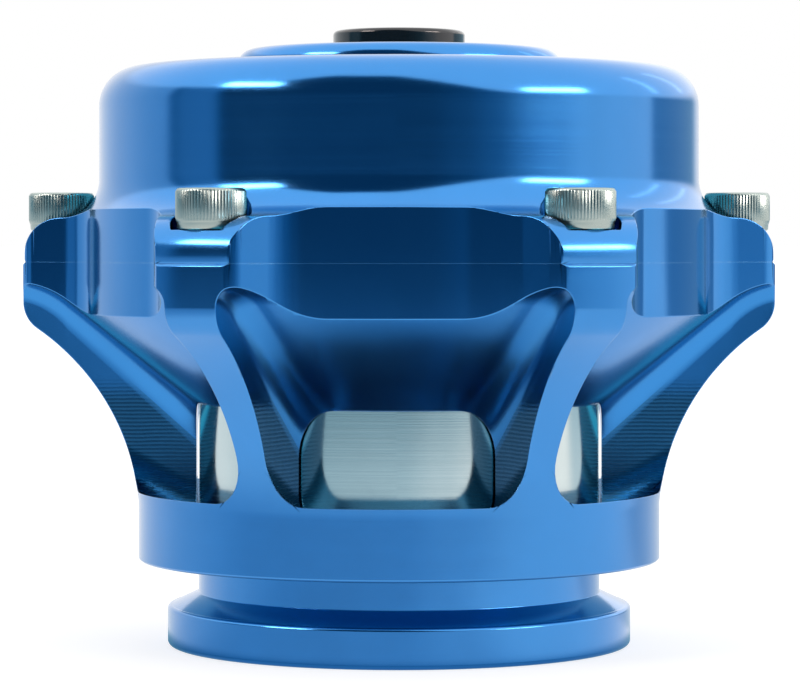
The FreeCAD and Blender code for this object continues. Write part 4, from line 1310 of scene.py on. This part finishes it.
@dataclass
class Diaphragm:
    """The rubber diaphragm: a clamped disc, a rolling fold and a clamped rim."""

    shop: Workshop
    hole_radius: float = 4.03
    bottom: float = 49.3
    thickness: float = 1.0
    outer_leg: float = 35.4
    fold_radius: float = 2.9
    seam: float = SEAM
    rim_radius: float = 38.28
    sectors: int = 12
    steps: int = 144
    sharp_angle: float = 40.0

    def build(self) -> None:
        """Makes the disc and the rim on their bodies, and the fold in sectors, which stay
        unattached.
        """
        top = self.bottom + self.thickness
        centre = self.outer_leg - self.fold_radius
        inner = self.fold_radius - self.thickness
        start = centre - self.fold_radius
        rim_bottom = self.seam - self.thickness
        disc = Outline(self.hole_radius, self.bottom)
        disc.line(start, self.bottom, start, top, self.hole_radius, top)
        rim = Outline(self.outer_leg, rim_bottom)
        rim.line(self.rim_radius, rim_bottom, self.rim_radius, self.seam, self.outer_leg, self.seam)
        for name, outline, body, nodes in (("diaphragm_disc", disc, "valve", ("diaphragm",)),
                                           ("diaphragm_rim", rim, "housing", ())):
            made = turned(name, outline, self.steps)
            self.shop.coat(made, BLACK_RUBBER)
            smooth_by_angle(made, self.sharp_angle)
            self.shop.fit(made, body, "black_rubber", *nodes)
        fold = Outline(start, self.bottom)
        fold.line(centre - inner, self.bottom, centre - inner, top)
        fold.arc(centre, top + inner, inner, Side.RIGHT)
        fold.arc(centre + inner, top, inner, Side.RIGHT)
        fold.line(centre + inner, rim_bottom, self.outer_leg, rim_bottom, self.outer_leg, top)
        fold.arc(centre, top + self.fold_radius, self.fold_radius, Side.LEFT)
        fold.arc(start, top, self.fold_radius, Side.LEFT)
        step = 360.0 / self.sectors
        for index in range(self.sectors):
            middle = math.radians((index + 0.5) * step)
            across, ahead = math.sin(middle), -math.cos(middle)
            made = turned(f"diaphragm_fold_{index + 1:02d}", fold, self.steps,
                          (index * step, (index + 1) * step))
            self.shop.coat(made, BLACK_RUBBER)
            smooth_by_angle(made, self.sharp_angle)
            near, far = [(across * reach * MM, ahead * reach * MM, top * MM)
                         for reach in (start, self.outer_leg)]
            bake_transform(made)


@dataclass
class Spring:
    """The closing spring, with closed and ground ends."""

    shop: Workshop
    mean_radius: float = 22.6
    wire_radius: float = 1.0
    turns: float = 4.0
    closed_turns: float = 0.75
    bottom: float = 52.3
    top: float = 71.0
    points_per_turn: int = 72
    sharp_angle: float = 40.0
    wire_steps: int = 20
    ground_share: float = 0.45
    closed_pitch: float = 2.06

    def tree(self) -> Tree:
        """A node tree that winds the wire along its helix and grinds the ends flat."""
        graph, given = group_tree("wound_spring", "GeometryNodeTree", {
            "Geometry": ("Geometry", None), "Mean Radius": ("Float", self.mean_radius * MM),
            "Wire Radius": ("Float", self.wire_radius * MM), "Turns": ("Float", self.turns),
            "Closed Turns": ("Float", self.closed_turns), "Bottom": ("Float", self.bottom * MM),
            "Top": ("Float", self.top * MM),
            "Points": ("Int", round(self.turns * self.points_per_turn) + 1),
            "Material": ("Material", SPRING_STEEL.material(self.shop.effects))}, "Geometry")
        wire, turns, ends = given["Wire Radius"], given["Turns"], given["Closed Turns"]
        bottom, top, mean = given["Bottom"], given["Top"], given["Mean Radius"]
        line = graph.value("GeometryNodeCurvePrimitiveLine")
        points = graph.value("GeometryNodeResampleCurve", {"Curve": line, "Count": given["Points"]})
        turn = graph.value("GeometryNodeSplineParameter", output="Factor") * turns
        low, high = bottom + wire * self.ground_share, top - wire * self.ground_share
        closed_rise = wire * self.closed_pitch
        closed = graph.math("MINIMUM", turn, ends) + graph.math("MAXIMUM", turn - turns + ends, 0.0)
        both_ends = ends * 2.0
        open_rise = (high - low - closed_rise * both_ends) / (turns - both_ends)
        height = low + (closed * closed_rise + (turn - closed) * open_rise)
        angle = turn * FULL_TURN
        place = graph.vector(graph.math("COSINE", angle) * mean,
                             graph.math("SINE", angle) * mean, height)
        helix = graph.value("GeometryNodeSetPosition", {"Geometry": points, "Position": place})
        section = graph.value("GeometryNodeCurvePrimitiveCircle",
                              {"Resolution": self.wire_steps, "Radius": wire})
        swept = graph.value("GeometryNodeCurveToMesh", {
            "Curve": helix, "Profile Curve": section, "Fill Caps": True})
        x, y, z = graph.split(graph.value("GeometryNodeInputPosition"))
        held = graph.math("MINIMUM", graph.math("MAXIMUM", z, bottom), top)
        ground = graph.value("GeometryNodeSetPosition",
                             {"Geometry": swept, "Position": graph.vector(x, y, held)})
        return graph.give_solid(ground, given["Material"])

    def build(self) -> None:
        """Makes the spring between its bottom and top heights, and hides the CAD spring."""
        made = linked("wound_spring", bpy.data.meshes.new("wound_spring"))
        made.modifiers.new("winding", "NODES").node_group = self.tree()
        settled(made)
        smooth_by_angle(made, self.sharp_angle)
        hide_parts("valve_spring")
        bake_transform(made)
        log.info("%s bends between valve and housing", made.name)


@dataclass(frozen=True)
class StudioWindow:
    """A bright patch of the surroundings, as seen from the valve."""

    bearing: float
    rise: float
    width: float
    height: float
    softness: float
    strength: float
    colour: Colour = (1.1, 0.92, 0.84)

    def light(self, bearing: Value, rise: Value) -> Value:
        """Works out what light the patch adds.

        Args:
            bearing: the bearing, in radians.
            rise: the height above the horizon, in radians.

        Returns:
            The added light.
        """
        graph = bearing.graph
        masks = []
        for angle, middle, size in ((bearing, self.bearing, self.width),
                                    (rise, self.rise, self.height)):
            off = graph.math("ABSOLUTE", angle - math.radians(middle))
            outside, inside = (size + self.softness) / 2, (size - self.softness) / 2
            masks.append(graph.ranged(off, math.radians(outside), math.radians(inside),
                                      smooth=True))
        shine = tuple(part * self.strength for part in self.colour)
        return graph.combined("MULTIPLY", shine, masks[0] * masks[1])


@dataclass
class Studio:
    """Camera, floor and surroundings."""

    eye_height: float = 51.8
    eye_distance: float = 441.0
    focal_length: float = 152.0
    sensor_width: float = 36.0
    horizon_above_middle: float = 102.0
    image_width: float = 800.0
    middle_offset: float = 1.0
    turn: float = 0.6
    overhead: float = 1.2
    cool: Colour = (0.10, 0.66, 1.0)
    cool_levels: Point = (0.25, 0.95)
    opening_edges: tuple[tuple[float, float, float, float], ...] = (
        (-66.0, -30.0, 22.0, 53.0), (-6.0, 50.0, 53.0, 6.0))
    opening_softness: Point = (-3.0, 4.0)
    floor_reach: float = 60.0
    floor_paint: float = 0.45
    floor_glow: float = 0.66
    # The floor as the metal mirrors it: painted shade from near to far by bearing, lighter when
    # seen steeply, with a painted contact shadow round the foot.
    floor_fade: Point = (0.22, 1.5)
    floor_view: Point = (0.85, 0.4)
    foot_shade: tuple[float, float, float] = (0.031, 0.039, 0.5)
    near_levels: tuple[Point, ...] = (
        (-180, 1.0), (-116, 0.87), (-94, 0.80), (-60, 0.68), (0, 0.72), (22, 0.82), (50, 0.98),
        (82, 1.0), (105, 1.0), (118, 0.78), (150, 0.85), (180, 1.0))
    far_levels: tuple[Point, ...] = (
        (-180, 1.0), (-129, 0.85), (-99, 0.74), (-94, 0.30), (-88, 0.42), (-74, 0.44), (-69, 0.115),
        (10, 0.11), (24, 0.16), (36, 0.25), (48, 0.40), (60, 0.62), (74, 0.90), (90, 1.0),
        (109, 1.0), (113, 0.48), (148, 0.52), (160, 0.9), (180, 1.0))
    windows: tuple[StudioWindow, ...] = (
        StudioWindow(-61.0, 29.0, 25.0, 9.0, 4.0, 11.0),
        StudioWindow(62.0, 16.0, 26.0, 8.0, 5.0, 11.0),
        StudioWindow(116.0, 24.0, 3.0, 24.0, 2.0, 1.2, (1.0, 1.0, 1.0)),
        StudioWindow(140.0, 22.0, 3.0, 22.0, 2.0, 0.8, (1.0, 1.0, 1.0)))

    def camera(self) -> None:
        """Stands the camera level in front of the valve, at the photograph's distance."""
        data = bpy.data.cameras.new("camera")
        data.lens = self.focal_length
        data.sensor_width = self.sensor_width
        data.shift_y = -self.horizon_above_middle / self.image_width
        data.shift_x = self.middle_offset / self.image_width
        data.clip_start = 0.02
        made = linked("camera", data)
        turn = math.radians(self.turn)
        made.location = (self.eye_distance * math.sin(turn) * MM,
                         -self.eye_distance * math.cos(turn) * MM, self.eye_height * MM)
        made.rotation_euler = (math.pi / 2, 0.0, turn)
        bpy.context.scene.camera = made

    def bearing(self, x: Value, y: Value) -> Value:
        """The bearing of a direction in radians: the viewer's is 0, and the right is positive."""
        return x.graph.math("ARCTAN2", x, y * -1.0) - math.radians(self.turn)

    def brightness(self, x: Value, y: Value, stops: Sequence[Point]) -> Value:
        """A brightness by bearing, from the viewer's side (0) over the right (90) to the back.

        Args:
            x: the way to the right.
            y: the way to the back.
            stops: bearings from -180 to 180, each with its brightness.

        Returns:
            The brightness.
        """
        return x.graph.ramp(self.bearing(x, y) / FULL_TURN + 0.5,
                            [(angle / 360.0 + 0.5, level) for angle, level in stops])

    def tinted(self, level: Value) -> Value:
        """Gives a brightness its colour: white where it is bright, and cool where it is dark."""
        graph = level.graph
        whiteness = graph.ranged(level, *self.cool_levels)
        return graph.combined("MULTIPLY", graph.mixed(whiteness, (*self.cool, 1.0), WHITE), level)

    def floor(self) -> None:
        """Lays a white table top that keeps a faint shadow; what the metal mirrors of it is a
        painted glow with painted shade, darker towards the viewer and round the foot.
        """
        mesh = bpy.data.meshes.new("table_top")
        reach = self.floor_reach
        mesh.from_pydata([(-reach, -reach, 0), (reach, -reach, 0), (reach, reach, 0),
                          (-reach, reach, 0)], [], [(0, 1, 2, 3)])
        made = linked("table_top", mesh)
        material = bpy.data.materials.new("table_top")
        material.use_nodes = True
        graph = Graph(material.node_tree)
        x, y, _ = graph.split(graph.value("ShaderNodeTexCoord", output="Object"))
        away = graph.reach(x, y)
        low = graph.mixed(graph.ranged(away, *self.floor_fade, smooth=True),
                          self.brightness(x, y, self.near_levels),
                          self.brightness(x, y, self.far_levels))
        facing = graph.value("ShaderNodeLayerWeight", {"Blend": 0.5}, output="Facing")
        steep = graph.ranged(facing, *self.floor_view, smooth=True)
        # Painted contact shadow round the foot, seen only in reflections of the floor.
        start, end, darkest = self.foot_shade
        painted_foot_shadow = graph.ranged(away, start, end, darkest, 1.0, smooth=True)
        level = graph.mixed(steep, low, WHITE) * painted_foot_shadow
        mirrored = graph.value("ShaderNodeEmission", {"Color": self.tinted(level)})
        paint = graph.value("ShaderNodeBsdfDiffuse", {"Color": (*[self.floor_paint] * 3, 1.0)})
        glow = graph.value("ShaderNodeEmission", {"Color": WHITE, "Strength": self.floor_glow})
        seen = graph.value("ShaderNodeAddShader", {0: paint, 1: glow})
        rays = graph.values("ShaderNodeLightPath")
        either = graph.math("MAXIMUM", rays["Is Glossy Ray"], rays["Is Transmission Ray"])
        both = graph.value("ShaderNodeMixShader", {0: either, 1: seen, 2: mirrored})
        graph.node("ShaderNodeOutputMaterial", {"Surface": both})
        mesh.materials.append(material)

    def surroundings(self) -> None:
        """A white studio with a wide dark opening behind the viewer and four bright windows."""
        world = bpy.data.worlds.new("studio")
        world.use_nodes = True
        bpy.context.scene.world = world
        graph = Graph(world.node_tree)
        x, y, z = graph.split(graph.value("ShaderNodeTexCoord", output="Generated"))
        bearing, rise = self.bearing(x, y), graph.math("ARCSINE", z)
        edges = [graph.ranged(bearing, *map(math.radians, edge), smooth=True)
                 for edge in self.opening_edges]
        above = rise - graph.math("MINIMUM", *edges)
        opening = graph.ranged(above, *map(math.radians, self.opening_softness), smooth=True)
        level = graph.mixed(opening, self.brightness(x, y, self.far_levels),
                            (*[self.overhead] * 3, 1.0))
        light = self.tinted(level)
        for window in self.windows:
            light = graph.combined("ADD", light, window.light(bearing, rise))
        seen = graph.value("ShaderNodeLightPath", output="Is Camera Ray")
        background = graph.value("ShaderNodeBackground",
                                 {"Color": graph.mixed(seen, light, WHITE), "Strength": 1.0})
        graph.node("ShaderNodeOutputWorld", {"Surface": background})

    def build(self) -> None:
        """Sets the whole studio up."""
        self.camera()
        self.floor()
        self.surroundings()
        bpy.context.scene.view_settings.view_transform = "Standard"


CARRIED = {
    "valve_screw_washer": ZINC, "valve_screw": ZINC, "valve_stem": ZINC,
    "lower_diaphragm_plate": BRIGHT_TURNED, "upper_diaphragm_plate": BRIGHT_TURNED,
    "stem_nut_washer": ZINC, "stem_nut": ZINC, "spring_seat_ring": ZINC,
    "lower_stem_bushing": BRONZE, "upper_stem_bushing": BRONZE, "bushing_circlip": SPRING_STEEL,
    "piston_guide_ring": DARK_PTFE,
}


def main() -> None:
    """Builds the studio and every sub-assembly."""
    Studio().build()
    shop, plan, screws = Workshop(), LobePlan(), ScrewPlan()
    ValveBody(shop, plan, screws).build()
    UpperHousing(shop, plan, screws).build()
    CapScrews(shop, screws).build()
    PortFitting(shop).build()
    piston = Piston(shop)
    piston.build()
    seat_x, seat_z = piston.seal_centre()
    for seal in (Seal("seat_seal", "seat_o_ring", "valve", mean_radius=seat_x, height=seat_z,
                      cord_radius=piston.seal_radius),
                 Seal("port_seal", "port_o_ring", "housing", mean_radius=7.45, height=76.7,
                      cord_radius=0.48),
                 Seal("stem_ring", "stem_seal", "housing", mean_radius=6.0, height=40.6,
                      cord_radius=0.95)):
        seal.build(shop)
    Diaphragm(shop).build()
    Spring(shop).build()
    for name, finish in CARRIED.items():
        shop.coat(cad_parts[name], finish)
        log.info("%s keeps its CAD mesh", name)


if __name__ == "__main__":
    logging.basicConfig(level=logging.INFO, format="%(name)s: %(message)s")
    main()
